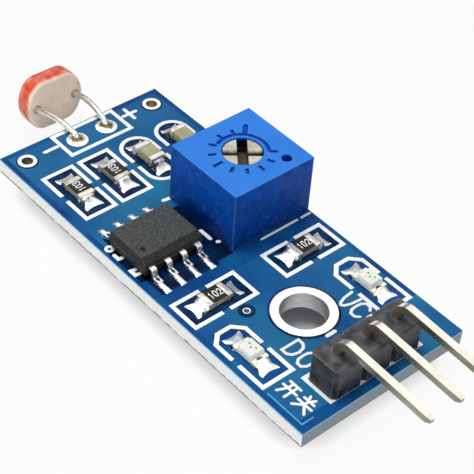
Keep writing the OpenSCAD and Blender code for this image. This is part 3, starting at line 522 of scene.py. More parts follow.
@dataclass(frozen=True)
class ChipFinish(SideShadedFinish):
    """Black moulding with painted shade in the dimple in its top and on its walls, and a real mould line
    around its walls that painted highlight makes paler.
    """

    top: float = 0.0
    flat: Point2 = (0.9, 0.98)
    # Painted shade in the dimple.
    dimple: Colour = (0.004, 0.004, 0.004)
    dimple_depths: Point2 = (0.02, 0.04)
    # Painted highlight on the real mould line.
    line: Colour = (0.105, 0.100, 0.094)
    line_level: float = 0.0
    line_half: float = 0.045
    line_core: float = 0.018
    line_patches: float = 0.8

    def tint(self, sheet: Sheet) -> Socket:
        """The moulding's colour, with painted shade below the level of its top and painted highlight on its
        mould line.

        Args:
            sheet: the material's node sheet.

        Returns:
            The colour's socket.
        """
        depths = sheet.level(*(self.top - depth for depth in self.dimple_depths))
        sunk = sheet.math("MULTIPLY", sheet.upward(*self.flat), depths)
        above = sheet.math("SUBTRACT", sheet.axes(sheet.place)[2], self.line_level * MM)
        near = sheet.span(sheet.math("ABSOLUTE", above, 0), self.line_half * MM, self.line_core * MM)
        band = sheet.math("MULTIPLY", near, sheet.patchy(self.line_patches, MIDDLE))
        return sheet.mix(sunk, sheet.mix(band, super().tint(sheet), self.line), self.dimple)


@dataclass(frozen=True)
class PadFinish(Finish):
    """Bright tinned rings with dull, stained solder around the leads in their middle."""

    stain: Colour = (0.24, 0.21, 0.13)
    station: float = -23.0
    row: float = 1.3
    stained_radius: float = 0.46
    blur: float = 0.06
    sway: float = 0.1
    sway_patches: float = 2.5

    def tint(self, sheet: Sheet) -> Socket:
        """Bright at the rim of each pad and stained at its lead.

        Args:
            sheet: the material's node sheet.

        Returns:
            The colour's socket.
        """
        x, y, _ = sheet.axes(sheet.place)
        across = sheet.math("SUBTRACT", sheet.math("ABSOLUTE", y, 0), self.row * MM)
        along = sheet.math("SUBTRACT", x, self.station * MM)
        reach = sheet.math("SQRT", sheet.squares(across, along), 0)
        ragged = sheet.ragged(reach, self.sway, self.sway_patches)
        stained = sheet.span(ragged, *((self.stained_radius + side * self.blur) * MM for side in (1, -1)))
        return sheet.mix(stained, super().tint(sheet), self.stain)


@dataclass(frozen=True)
class LeadFinish(Finish):
    """Tinned leads, darker in an oval in the middle of each lower bend."""

    bend_dark: Colour = (0.022, 0.021, 0.019)
    middle: Point2 = (0.0, 0.0)
    leads: int = 4
    pitch: float = 1.27
    bend: float = 2.66
    oval: Point2 = (0.25, 0.12)
    fade: Point2 = (1.3, 0.4)

    def tint(self, sheet: Sheet) -> Socket:
        """Bright tin, with a dark oval in the middle of each bend.

        Args:
            sheet: the material's node sheet.

        Returns:
            The colour's socket.
        """
        x, y, _ = sheet.axes(sheet.place)
        out = sheet.math("ABSOLUTE", sheet.math("SUBTRACT", x, self.middle[0] * MM), 0)
        along = sheet.math("SUBTRACT", out, self.bend * MM)
        first_lead = self.middle[1] - (self.leads - 1) / 2 * self.pitch
        across = sheet.math("PINGPONG", sheet.math("SUBTRACT", y, first_lead * MM), self.pitch / 2 * MM)
        parts = [sheet.math("DIVIDE", value, half * MM) for value, half in zip((along, across), self.oval)]
        inside = sheet.span(sheet.squares(*parts), *self.fade)
        return sheet.mix(inside, super().tint(sheet), self.bend_dark)


@dataclass(frozen=True)
class FilletFinish(Finish):
    """Bright solder with painted dark reflections in places where it climbs a terminal."""

    # The colour of the painted dark reflections.
    stain: Colour = (0.030, 0.029, 0.026)
    dark_reflection_patches: float = 1.5
    dark_reflection_range: Point2 = (0.45, 0.50)
    steep: Point2 = (0.90, 0.70)

    def tint(self, sheet: Sheet) -> Socket:
        """Bright on the pad, with patches of painted dark reflection on the steep part.

        Args:
            sheet: the material's node sheet.

        Returns:
            The colour's socket.
        """
        patches = sheet.patchy(self.dark_reflection_patches, self.dark_reflection_range)
        stained = sheet.math("MULTIPLY", sheet.upward(*self.steep), patches)
        return sheet.mix(stained, super().tint(sheet), self.stain)


@dataclass(frozen=True)
class SensorFinish(Finish):
    """Fired ceramic that the light-sensitive coat has stained towards the front."""

    origin: Point3 = (0, 0, 0)
    direction: Point3 = (-1, 0, 0)
    stain: Colour = (0.70, 0.105, 0.045)
    stain_shade: Colour = (0.54, 0.060, 0.026)
    streaks: float = 2.4
    streak_stretch: Point3 = (0.3, 1, 1)
    streak_range: Point2 = (0.38, 0.66)
    blush: Colour = (0.72, 0.36, 0.27)
    # Paler flecks in the stain: partly the coat's own mottling, partly painted highlight.
    fleck: Colour = (0.86, 0.30, 0.20)
    fleck_patches: float = 1.3
    fleck_range: Point2 = (0.52, 0.66)
    fleck_share: float = 0.75
    bare: float = 0.26
    blush_reach: Point2 = (-0.2, 0.0)
    stain_reach: Point2 = (-0.05, 0.12)
    sway: float = 0.13
    sway_patches: float = 1.1
    sway_range: Point2 = (0.25, 0.75)

    def tint(self, sheet: Sheet) -> Socket:
        """Bare ceramic at the back, a blush and then the stain, with paler flecks in it that are partly
        painted highlight.

        Args:
            sheet: the material's node sheet.

        Returns:
            The colour's socket.
        """
        reach = sheet.along(Vector(self.direction), Vector(self.origin))
        ragged = sheet.ragged(reach, self.sway, self.sway_patches, FINE, self.sway_range)
        streaks = sheet.span(sheet.noise(self.streaks, FINE, self.streak_stretch), *self.streak_range)
        flecks = sheet.patchy(self.fleck_patches, self.fleck_range, FINER, self.fleck_share)
        stain = sheet.mix(flecks, sheet.mix(streaks, self.stain, self.stain_shade), self.fleck)
        colour = super().tint(sheet)
        for layer, stretch in ((self.blush, self.blush_reach), (stain, self.stain_reach)):
            share = sheet.span(ragged, *((self.bare + end) * MM for end in stretch))
            colour = sheet.mix(share, colour, layer)
        return colour


MASK = BoardFinish("blue_mask", (0.007, 0.068, 0.255), (0.019, 0.166, 0.320), 0.20, 0.05, patches=0.16,
                   depth=0.0015, edge=0.04, specular=0.06, grain=20)
# Darker mask: real where the copper pour stops short of the edges and inside the lamps' outlines, painted
# shade in the yards beside the chip and the trimmer and in the wide strip at the header's end.
CLEARANCE_AND_SHADE_MASK = Finish("mask_clearance_and_painted_shade", (0.004, 0.045, 0.19), (0.008, 0.095, 0.28), 0.2, 0.05,
                     patches=0.4, depth=0.001, edge=0, specular=0.05)
BARE_MASK = Finish("mask_over_laminate", (0.001, 0.009, 0.045), (0.005, 0.048, 0.13), 0.2, 0.05,
                   patches=0.9, depth=0.001, edge=0, specular=0.05)
# Painted shadow: near-black mask where the chip shades the board, between its leads and along its sides.
PAINTED_CHIP_SHADOW = Finish("painted_chip_shadow_mask", (0.001, 0.004, 0.018), (0.003, 0.022, 0.085), 0.2, 0.05,
                   patches=1.1, depth=0.001, edge=0, specular=0.05)
TRACK_MASK = Finish("mask_over_tracks", (0.010, 0.15, 0.42), (0.008, 0.13, 0.38), 0.2, 0.05, patches=0.4,
                    depth=0.001, edge=0.01, specular=0.06)
SEAM = Finish("mask_seam", (0.10, 0.40, 0.66), (0.06, 0.32, 0.60), 0.4, 0.05, patches=1.5, edge=0)
INK = Finish("white_ink", (0.95, 0.96, 0.96), (0.87, 0.89, 0.90), 0.6, 0.1, patches=3, grain=20,
             depth=0.004, edge=0.01, specular=0.3)
RING_TIN = RingFinish("ring_tin", (0.95, 0.95, 0.94), (0.84, 0.85, 0.85), 0.34, 0.1, 1.0, patches=1.6,
                      grain=8, depth=0.006, edge=0.03)
# Painted shade: the barrels of the narrow corner holes are darker and browner than the mounting hole's.
CORNER_TIN = replace(RING_TIN, name="corner_ring_tin", barrel=(0.62, 0.52, 0.40))
SOLDER = FilletFinish("bright_solder", (0.95, 0.95, 0.94), (0.74, 0.75, 0.74), 0.33, 0.06, 0.75, patches=2.4,
                      grain=1.8, depth=0.045, edge=0.0)
PAD_SOLDER = PadFinish("pad_solder", (0.97, 0.97, 0.96), (0.88, 0.88, 0.86), 0.36, 0.08, 1.0, patches=2.2,
                       grain=3, depth=0.014, edge=0.0)
WIRE = Finish("tinned_wire", (0.86, 0.84, 0.76), (0.60, 0.58, 0.48), 0.26, 0.1, 1.0, patches=1.2, grain=6,
              depth=0.008, edge=0.03)
LEAD_SOLDER = Finish("lead_solder", (0.95, 0.95, 0.95), (0.84, 0.85, 0.86), 0.3, 0.06, 1.0, patches=2.4,
                     grain=1.8, depth=0.02, edge=0.0)
LEAD_TIN = LeadFinish("chip_lead_tin", (0.94, 0.94, 0.92), (0.78, 0.78, 0.76), 0.3, 0.08, 1.0, patches=3,
                      grain=5, depth=0.004, edge=0.03)
# Painted shade: the pins' sides are darker than their tops.
PIN_TIN = SideShadedFinish("header_pin_tin", (0.93, 0.91, 0.82), (0.86, 0.83, 0.70), 0.24, 0.06, 0.8, patches=0.6,
                      grain=5, depth=0.002, edge=0.0, side=(0.36, 0.34, 0.27), side_shade=(0.22, 0.20, 0.15))
CERAMIC = SensorFinish("fired_ceramic", (0.92, 0.79, 0.66), (0.84, 0.70, 0.57), 0.6, 0.1, patches=0.7,
                       grain=18, depth=0.005, edge=0, specular=0.3)
STAINED = SensorFinish("stained_resin", (0.92, 0.79, 0.66), (0.84, 0.70, 0.57), 0.24, 0.1, patches=0.7,
                       grain=3, depth=0.02, edge=0, specular=0.4, coat=0.35, subsurface=0.15)
FILM = Finish("sensor_film", (0.62, 0.16, 0.07), (0.50, 0.11, 0.05), 0.5, patches=3, edge=0)
ELECTRODE = Finish("electrode_film", (0.88, 0.84, 0.76), (0.74, 0.70, 0.62), 0.35, 0.1, 1.0, edge=0)
RESIN = Finish("clear_resin", (0.99, 0.93, 0.88), (0.98, 0.90, 0.84), 0.06, 0.04, patches=0.6, grain=1.4,
               depth=0.02, edge=0, transmission=0.95)
# Beads where the leads enter the disc; their dark colour is partly painted shade at the entry.
BEAD = Finish("lead_bead", (0.46, 0.39, 0.29), (0.26, 0.21, 0.14), 0.4, 0.1, patches=4, edge=0)
# The trimmer's lighter edges are painted highlight.
SHELL = ShellFinish("blue_moulding", (0.040, 0.216, 0.725), (0.030, 0.180, 0.655), 0.40, 0.08, patches=0.35,
                    grain=16, depth=0.006, edge=0.09, wear_and_highlight=0.45, wear_and_highlight_colour=(0.16, 0.42, 0.88),
                    specular=0.07)
ROTOR = RotorFinish("cream_moulding", (0.62, 0.60, 0.49), (0.42, 0.40, 0.31), 0.4, 0.1, patches=1.1, grain=9,
                    depth=0.008, edge=0.1, specular=0.4)
WIPER = Finish("wiper_sheet", (0.85, 0.66, 0.32), (0.66, 0.48, 0.2), 0.3, 0.08, 1.0)
RUBBER = Finish("black_rubber", (0.018, 0.018, 0.018), (0.03, 0.03, 0.03), 0.7, edge=0)
RESISTIVE = Finish("carbon_film", (0.03, 0.03, 0.03), (0.05, 0.05, 0.05), 0.6, edge=0)
WHITE_CERAMIC = Finish("fired_alumina", (0.84, 0.83, 0.80), (0.72, 0.71, 0.68), 0.55, grain=16, edge=0.03)
FILLING = Finish("potting_resin", (0.025, 0.04, 0.07), (0.04, 0.06, 0.1), 0.35, patches=0.6, grain=3,
                 depth=0.03, edge=0)
# Painted shade on the chip's sides and in its dimple, painted highlight on its mould line, and lighter edges
# from wearing and painted highlight.
MOULDING = ChipFinish("black_epoxy", (0.026, 0.029, 0.028), (0.078, 0.084, 0.082), 0.62, 0.1, patches=5.5,
                      grain=6, depth=0.006, edge=0.05, wear_and_highlight=0.4, wear_and_highlight_colour=(0.16, 0.16, 0.15),
                      specular=0.2, side=(0.008, 0.008, 0.008), side_shade=(0.030, 0.030, 0.029),
                      turning=(0.74, 0.92))
GLAZE = Finish("black_glaze", (0.016, 0.015, 0.013), (0.034, 0.030, 0.024), 0.24, 0.06, patches=2.5,
               grain=6, depth=0.004, edge=0.03, specular=0.15)
RESISTOR_CERAMIC = Finish("resistor_ceramic", (0.36, 0.35, 0.28), (0.24, 0.23, 0.17), 0.55, patches=2,
                          grain=10, edge=0.03)
END_CAP = Finish("end_cap_tin", (0.92, 0.91, 0.86), (0.46, 0.44, 0.36), 0.3, 0.1, 0.75, patches=1.7,
                 grain=4, depth=0.008, edge=0.06)
LAMP_TIN = Finish("lamp_terminal_tin", (0.95, 0.93, 0.85), (0.78, 0.75, 0.60), 0.36, 0.1, 0.6, patches=1.7,
                  grain=4, depth=0.006, edge=0.04)
TAN_CERAMIC = Finish("tan_ceramic", (0.44, 0.43, 0.26), (0.35, 0.34, 0.19), 0.5, 0.1, patches=1.6, grain=14,
                     depth=0.006, edge=0.06, specular=0.3)
LAMINATE = Finish("lamp_laminate", (0.82, 0.80, 0.68), (0.70, 0.68, 0.56), 0.5, patches=3, edge=0.03)
LENS = Finish("milky_lens", (0.99, 0.98, 0.94), (0.92, 0.94, 0.82), 0.16, 0.08, patches=2.4, grain=5,
              depth=0.008, edge=0.08, transmission=0.12, subsurface=0.5)
DIE = Finish("light_chip", (0.16, 0.20, 0.07), (0.24, 0.10, 0.06), 0.3, patches=2.2, edge=0)
# Painted highlight on the block's edges; its darker sides are painted shade.
HEADER_BLACK = SideShadedFinish("black_nylon", (0.010, 0.011, 0.013), (0.105, 0.108, 0.115), 0.38, 0.1,
                           patches=1.3, grain=3, depth=0.014, edge=0.09, wear_and_highlight=0.6,
                           wear_and_highlight_colour=(0.26, 0.26, 0.27), specular=0.3, side=(0.003, 0.003, 0.004),
                           side_shade=(0.046, 0.048, 0.053))


def paint(finish: Finish, *nodes: str) -> None:
    """Gives CAD nodes a finish.

    Args:
        finish: the finish.
        nodes: names of the nodes.
    """
    for name in nodes:
        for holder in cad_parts[name].material_slots:
            holder.material = finish.material()
    LOG.info("%s on %s", finish.name, ", ".join(nodes))


def placed(name: str, data: bpy.types.ID) -> bpy.types.Object:
    """Adds an object to the scene.

    Args:
        name: the object's name.
        data: its mesh, lamp or camera.

    Returns:
        The new object.
    """
    thing = bpy.data.objects.new(name, data)
    bpy.context.scene.collection.objects.link(thing)
    return thing


def numbered(name: str, count: int) -> list[str]:
    """The names of a numbered row of nodes."""
    return [f"{name}_{i}" for i in range(1, count + 1)]


def arc(centre: Point2, radius: float, first: float, last: float, steps: int) -> list[Point2]:
    """Points along an arc.

    Args:
        centre: the arc's centre.
        radius: the arc's radius.
        first: the angle of its start, in degrees.
        last: the angle of its end, in degrees.
        steps: the number of steps between them.

    Returns:
        The points, with both ends.
    """
    angles = [math.radians(first + (last - first) * i / steps) for i in range(steps + 1)]
    return [(centre[0] + radius * math.cos(a), centre[1] + radius * math.sin(a)) for a in angles]


def circle(centre: Point2, radius: float, steps: int = 40) -> list[Point2]:
    """A full circle of points."""
    return arc(centre, radius, 0, 360, steps)[:-1]


def stadium(centre: Point2, length: float, width: float) -> list[Point2]:
    """An outline along X with fully rounded ends.

    Args:
        centre: the outline's middle.
        length: its size along X.
        width: its size across.

    Returns:
        The outline's points, counter-clockwise.
    """
    reach = (length - width) / 2
    right = arc((centre[0] + reach, centre[1]), width / 2, -90, 90, END_STEPS)
    left = arc((centre[0] - reach, centre[1]), width / 2, 90, 270, END_STEPS)
    return right + left


def rectangle(centre: Point2, length: float, width: float) -> list[Point2]:
    """A plain rectangle."""
    x, y = length / 2, width / 2
    return [(centre[0] + a, centre[1] + b) for a, b in ((-x, -y), (x, -y), (x, y), (-x, y))]


def offset_path(path: Path, distance: float, closed: bool) -> list[Point2]:
    """A path moved to its left side, with mitred corners.

    Args:
        path: the path's points.
        distance: how far it moves.
        closed: whether the path runs back to its start.

    Returns:
        The moved points, as many as there were.
    """
    points = [Vector(p) for p in path]
    count = len(points)
    moved = []
    for i, point in enumerate(points):
        before = points[i - 1] if closed or i > 0 else None
        after = points[(i + 1) % count] if closed or i < count - 1 else None
        steps = [(b - a).normalized() for a, b in ((before, point), (point, after))
                 if a is not None and b is not None]
        sides = [Vector((-s.y, s.x)) for s in steps]
        middle = sum(sides, Vector((0, 0))).normalized()
        stretch = min(MITRE_LIMIT, 1 / max(LEAST_MITRE, middle.dot(sides[0])))
        moved.append(tuple(point + middle * distance * stretch))
    return moved


@dataclass
class Mesh:
    """Points and faces of a new piece, in millimetres."""

    points: list[Vector] = field(default_factory=list)
    faces: list[tuple[int, ...]] = field(default_factory=list)

    def loft(self, rings: Sequence[Sequence[Vector]], first_cap: bool = True, last_cap: bool = True) -> None:
        """Joins closed rings of equally many points.

        Args:
            rings: the rings, from one end to the other.
            first_cap: whether the first ring is closed by a face.
            last_cap: whether the last ring is closed by a face.
        """
        start, count = len(self.points), len(rings[0])
        for ring in rings:
            self.points.extend(Vector(p) for p in ring)
        for r in range(len(rings) - 1):
            low = start + r * count
            for i in range(count):
                j = (i + 1) % count
                self.faces.append((low + i, low + j, low + count + j, low + count + i))
        if first_cap:
            self.faces.append(tuple(range(start + count - 1, start - 1, -1)))
        if last_cap:
            end = start + (len(rings) - 1) * count
            self.faces.append(tuple(range(end, end + count)))

    def plate(self, outline: Path, low: float, high: float) -> None:
        """A flat plate between two heights.

        Args:
            outline: its outline in X and Y, counter-clockwise.
            low: the height of its foot.
            high: the height of its top.
        """
        self.loft([[Vector((x, y, height)) for x, y in outline] for height in (low, high)])

    def washer(self, outer: Path, inner: Path, low: float, high: float) -> None:
        """A flat ring between two outlines.

        Args:
            outer: the outer outline.
            inner: the inner outline, with as many points.
            low: the height of its foot.
            high: the height of its top.
        """
        start, count = len(self.points), len(outer)
        rings = ((outer, low), (outer, high), (inner, high), (inner, low))
        for outline, height in rings:
            self.points.extend(Vector((x, y, height)) for x, y in outline)
        for r in range(len(rings)):
            a, b = start + r * count, start + (r + 1) % len(rings) * count
            for i in range(count):
                j = (i + 1) % count
                self.faces.append((a + i, a + j, b + j, b + i))

    def stroke(self, path: Path, width: float, low: float, high: float, closed: bool = False) -> None:
        """A printed line along a path, with round ends.

        Args:
            path: the line's middle.
            width: the line's width.
            low: the height of its foot.
            high: the height of its top.
            closed: whether the line runs back to its start.
        """
        half = width / 2
        left, right = offset_path(path, half, closed), offset_path(path, -half, closed)
        if closed:
            self.washer(right, left, low, high)
            return
        ends = []
        for tip, other in ((path[-1], path[-2]), (path[0], path[1])):
            turn = math.degrees(math.atan2(tip[1] - other[1], tip[0] - other[0]))
            ends.append(arc(tip, half, turn - 90, turn + 90, CAP_STEPS))
        self.plate(right[1:-1] + ends[0] + left[-2:0:-1] + ends[1], low, high)

    def slab(self, rows: Sequence[Sequence[Vector]]) -> None:
        """Closes a grid of points down to the level Z = 0.

        Args:
            rows: the grid's rows, with equally many points.
        """
        start, columns, last = len(self.points), len(rows[0]), len(rows) - 1
        grid = [point for row in rows for point in row]
        count = len(grid)
        self.points.extend(grid)
        self.points.extend(Vector((p.x, p.y, 0.0)) for p in grid)
        for i in range(last):
            for j in range(columns - 1):
                a = start + i * columns + j
                quad = (a, a + 1, a + columns + 1, a + columns)
                self.faces.append(quad)
                self.faces.append(tuple(count + k for k in reversed(quad)))
        border = list(range(columns))
        border += [i * columns + columns - 1 for i in range(1, last + 1)]
        border += [last * columns + j for j in range(columns - 2, -1, -1)]
        border += [i * columns for i in range(last - 1, 0, -1)]
        for k, a in enumerate(border):
            b = border[(k + 1) % len(border)]
            self.faces.append(tuple(start + c for c in (a, b, count + b, count + a)))

    def moved(self, matrix: Matrix) -> "Mesh":
        """A copy with every point moved by a matrix."""
        return Mesh([matrix @ p for p in self.points], list(self.faces))

    def add(self, other: "Mesh") -> None:
        """Takes in the points and faces of another mesh.

        Args:
            other: the other mesh.
        """
        start = len(self.points)
        self.points.extend(other.points)
        self.faces.extend(tuple(start + i for i in f) for f in other.faces)

    def build(self, name: str, finish: Finish, slot: Slot, replaces: Iterable[str] = ()) -> None:
        """Makes the piece and hands it to the module.

        Args:
            name: the piece's name.
            finish: its finish.
            slot: not used.
            replaces: the CAD nodes that it stands for.
        """
        work = bmesh.new()
        corners = [work.verts.new(p * MM) for p in self.points]
        for face in self.faces:
            work.faces.new([corners[i] for i in face]).smooth = True
        bmesh.ops.remove_doubles(work, verts=work.verts, dist=WELD)
        bmesh.ops.recalc_face_normals(work, faces=work.faces)
        for edge in work.edges:
            edge.smooth = len(edge.link_faces) == 2 and edge.calc_face_angle() < SHARP
        data = bpy.data.meshes.new(name)
        work.to_mesh(data)
        work.free()
        data.materials.append(finish.material())
        piece = placed(name, data)
        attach(piece, MODULE)
        if replaces:
            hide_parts(*replaces)
        LOG.info("%s: %d faces", name, len(data.polygons))


@dataclass(frozen=True)
class Glyph:
    """A sign drawn by lines in a box of one by one."""

    lines: tuple[tuple[Point2, ...], ...]
    closed: bool = False

    def draw(self, mesh: Mesh, corner: Point2, size: Point2, width: float, low: float, high: float,
             turn: float = 0.0) -> None:
        """Adds the sign's lines to a mesh.

        Args:
            mesh: the mesh that takes the lines.
            corner: the place of the box's lower left corner.
            size: the box's width and height.
            width: the lines' width.
            low: the height of their foot.
            high: the height of their top.
            turn: the angle of the writing, in degrees.
        """
        c, s = math.cos(math.radians(turn)), math.sin(math.radians(turn))
        for i, line in enumerate(self.lines):
            scaled = [(x * size[0], y * size[1]) for x, y in line]
            turned = [(corner[0] + c * x - s * y, corner[1] + s * x + c * y) for x, y in scaled]
            mesh.stroke(turned, width, low, high + LAYER * i, self.closed)


ROUND = ((0.3, 0), (0.7, 0), (0.95, 0.2), (1, 0.5), (0.95, 0.8), (0.7, 1), (0.3, 1), (0.05, 0.8), (0, 0.5),
         (0.05, 0.2))
GLYPHS = {
    "D": Glyph((((0, 0), (0.5, 0), (0.85, 0.16), (1, 0.5), (0.85, 0.84), (0.5, 1), (0, 1)),), True),
    "O": Glyph((ROUND,), True),
    "V": Glyph((((0, 1), (0.1, 0.45), (0.3, 0.1), (0.5, 0), (0.7, 0.1), (0.9, 0.45), (1, 1)),)),
    "C": Glyph((((1, 0.82), (0.72, 1), (0.3, 1), (0.05, 0.8), (0, 0.5), (0.05, 0.2), (0.3, 0), (0.72, 0),
                 (1, 0.18)),)),
    "0": Glyph((ROUND,), True),
    "1": Glyph((((0.25, 0.78), (0.55, 1), (0.55, 0)),)),
    "2": Glyph((((0.02, 0.74), (0.16, 0.94), (0.5, 1), (0.84, 0.94), (0.98, 0.72), (0.86, 0.5), (0, 0),
                 (1, 0)),)),
    "3": Glyph((((0.02, 0.82), (0.2, 1), (0.75, 1), (0.98, 0.78), (0.72, 0.54), (0.35, 0.54)),
                ((0.72, 0.54), (1, 0.26), (0.78, 0), (0.2, 0), (0, 0.18)))),
    "kai": Glyph((((0.1, 0.9), (0.9, 0.9)), ((0, 0.52), (1, 0.52)), ((0.36, 0.9), (0.36, 0.52), (0.1, 0)),
                  ((0.68, 0.9), (0.68, 0)))),
    "guan": Glyph((((0.3, 1), (0.4, 0.84)), ((0.7, 1), (0.6, 0.84)), ((0.14, 0.74), (0.86, 0.74)),
                   ((0, 0.44), (1, 0.44)), ((0.5, 0.74), (0.48, 0.4), (0.04, 0)), ((0.52, 0.4), (0.96, 0)))),
}


@dataclass
class CircuitBoard:
    """The board with its mask, tracks, printed signs and plated holes."""

    print_height: float = 0.03
    mask_height: float = 0.008
    yard_height: float = 0.005
    track_height: float = 0.02
    track_width: float = 0.55
    stroke: float = 0.28
    fine_stroke: float = 0.18
    letter: Point2 = (0.85, 1.42)
    letter_stroke: float = 0.2
    letters: tuple[tuple[str, Point2], ...] = (
        ("D", (1.62, -3.4)), ("O", (2.82, -3.4)), ("V", (0.6, 2.3)), ("C", (1.72, 2.3)), ("C", (2.9, 2.3)))
    script: Point2 = (1.2, 1.3)
    script_stroke: float = 0.18
    script_signs: tuple[tuple[str, Point2], ...] = (("kai", (3.8, -5.9)), ("guan", (5.25, -5.9)))
    first_lead: Point2 = (-12.3, -6.45)
    first_lead_rings: Point2 = (0.12, 0.34)
    via: Point2 = (-2.33, -2.9)
    via_rings: Point2 = (0.2, 0.27)
    via_clearance: float = 0.6
    mounting_hole: Point2 = (0.0, 0.0)
    mounting_ring: float = 2.25
    mounting_clearance: float = 2.42
    corner_holes: tuple[Point2, ...] = ((-23.1, -5.6), (-23.1, 5.6))
    corner_ring: float = 0.7
    corner_clearance: float = 0.8
    seam: tuple[Point2, ...] = ((3.8, -6.5), (6.9, -6.5), (6.9, -5.6))
    seam_width: float = 0.09
    outline: Point2 = (4.95, 2.25)
    # Yards beside the chip and the trimmer: partly mask over bare laminate, partly painted shade.
    yards: tuple[Box, ...] = (((-7.4, -3.31), (3.4, 6.58)), ((-6.43, 3.295), (1.46, 6.61)))
    # Margins where the copper pour stops short of the edges; the wider strip at the header's end is painted
    # shade.
    margins: tuple[Box, ...] = (
        ((-8.5, -6.775), (31.9, 0.35)), ((7.025, -2.6), (0.85, 8.0)), ((-24.275, 0.0), (0.35, 13.2)),
        ((-19.2, 6.775), (10.5, 0.35)), ((-1.925, 6.775), (10.45, 0.35)))
    header_box: Box = ((5.45, 0.0), (2.1, 7.5))
    # Plates of painted shadow: between the chip's leads, between the chip and the trimmer, and along the
    # chip's near side.
    chip_shadows: tuple[Box, ...] = (
        ((-7.9, -3.9), (2.3, 4.9)), ((-12.9, -3.9), (0.9, 4.7)), ((-10.0, -0.716), (6.0, 1.43)),
        ((-10.55, -6.3), (4.2, 0.85)))
    underside: tuple[tuple[Point2, ...], ...] = (
        ((5.55, 2.54), (3.4, 4.7), (-7.6, 4.7), (-8.0, 4.3), (-9.3, 3.48)),
        ((5.55, 0.0), (3.2, 0.0), (2.6, -0.6), (2.6, -3.2), (1.6, -4.2), (-2.33, -4.2), (-2.33, -2.9)),
        ((5.55, -2.54), (4.4, -3.7), (3.4, -5.6), (-6.0, -5.6), (-8.2, -3.6)),
        ((-11.8, 6.0), (-13.4, 6.0), (-15.4, 4.0), (-20.6, 4.0), (-23.0, 1.3)),
        ((-11.8, 0.93), (-14.6, 0.93), (-16.2, -0.7), (-21.0, -0.7), (-23.0, -1.3)),
        ((-9.3, 3.48), (-9.3, -1.4), (-12.8, -4.9), (-21.8, -4.9), (-23.1, -5.6)))
    bars: tuple[tuple[Point2, ...], ...] = (
        ((-23.78, 3.55), (-22.52, 3.55)), ((-23.15, 2.98), (-23.15, 4.12)),
        ((-23.18, -4.05), (-23.18, -2.95)), ((2.5, -0.3), (2.5, 0.36)),
        ((-11.6, -6.56), (-11.14, -6.56), (-11.1, -6.28)),
        ((-9.68, -6.25), (-9.74, -6.6), (-9.25, -6.6), (-9.22, -6.25)),
        ((-10.0, -0.4), (-9.0, -0.4)), ((-8.47, -0.2), (-8.43, -0.1)), ((-13.98, -0.5), (-13.92, -0.05)))
    fine_lines: tuple[tuple[Point2, ...], ...] = (
        ((-6.85, 2.35), (-6.85, 5.6)), ((-6.85, 6.0), (-6.85, 6.8)))

    def build(self) -> None:
        """Makes the mask's relief with its darker plates, some of them painted shade and painted shadow, the
        tracks, the printed signs and the through connection.
        """
        self.dark_mask().build("mask_clearances", BARE_MASK, Slot.BOARD_MASK)
        outlines = [((x, y), self.outline) for x, y, _ in LAMPS]
        self.plates((*self.yards, *self.margins, *outlines), self.yard_height).build(
            "clearances_and_painted_shade", CLEARANCE_AND_SHADE_MASK, Slot.BOARD_MASK)
        self.plates(self.chip_shadows, self.mask_height).build("painted_chip_shadows", PAINTED_CHIP_SHADOW, Slot.BOARD_MASK)
        seam = Mesh()
        seam.stroke(self.seam, self.seam_width, BOARD_TOP, BOARD_TOP + self.mask_height)
        seam.build("mask_seam", SEAM, Slot.BOARD_MASK)
        self.tracks().build("underside_tracks", TRACK_MASK, Slot.BOARD_MASK)
        self.signs().build("printed_signs", INK, Slot.LEGEND_INK)
        ring = Mesh()
        inner, outer = (circle(self.via, radius, SMALL_STEPS) for radius in self.via_rings)
        for low, high in ((BOARD_TOP, BOARD_TOP + self.track_height), (-self.track_height, 0)):
            ring.washer(outer, inner, low, high)
        ring.build("through_connection", RING_TIN, Slot.HOLE_PLATING)

    def plates(self, boxes: Iterable[Box], height: float) -> Mesh:
        """Thin plates on the board's top.

        Args:
            boxes: the middle and the size of each plate.
            height: the plates' height.

        Returns:
            One mesh with all the plates.
        """
        mesh = Mesh()
        for centre, size in boxes:
            mesh.plate(rectangle(centre, *size), BOARD_TOP, BOARD_TOP + height)
        return mesh

    def dark_mask(self) -> Mesh:
        """The areas where the mask lies on bare laminate.

        Returns:
            A mesh of thin plates around the parts and the holes.
        """
        length, width = self.outline
        boxes = [((x, y), (width, length) if turn else (length, width)) for x, y, turn in RESISTORS]
        mesh = self.plates((*boxes, self.header_box), self.mask_height)
        low, high = BOARD_TOP, BOARD_TOP + self.mask_height
        for x, y, _ in CAPACITORS:
            mesh.plate(stadium((x, y), length, width), low, high)
        rings = [(self.mounting_hole, self.mounting_clearance, self.mounting_ring),
                 (self.via, self.via_clearance, self.via_rings[1])]
        rings += [(centre, self.corner_clearance, self.corner_ring) for centre in self.corner_holes]
        for centre, outer, inner in rings:
            mesh.washer(circle(centre, outer), circle(centre, inner), low, high)
        return mesh

    def tracks(self) -> Mesh:
        """The tracks of the underside.

        Returns:
            A mesh of thin raised lines.
        """
        mesh = Mesh()
        for line in self.underside:
            mesh.stroke(line, self.track_width, -self.track_height, 0.0)
        return mesh

    def signs(self) -> Mesh:
        """The printed signs that stand outside the outlines.

        Returns:
            A mesh of thin lines.
        """
        mesh = Mesh()
        low, high = BOARD_TOP, BOARD_TOP + self.print_height
        for i, bar in enumerate(self.bars):
            mesh.stroke(bar, self.stroke, low, high + LAYER * (i % 2))
        for line in self.fine_lines:
            mesh.stroke(line, self.fine_stroke, low, high)
        inner, outer = (circle(self.first_lead, radius, SMALL_STEPS) for radius in self.first_lead_rings)
        mesh.washer(outer, inner, low, high)
        for signs, size, stroke in ((self.letters, self.letter, self.letter_stroke),
                                    (self.script_signs, self.script, self.script_stroke)):
            for sign, corner in signs:
                GLYPHS[sign].draw(mesh, corner, size, stroke, low, high)
        return mesh

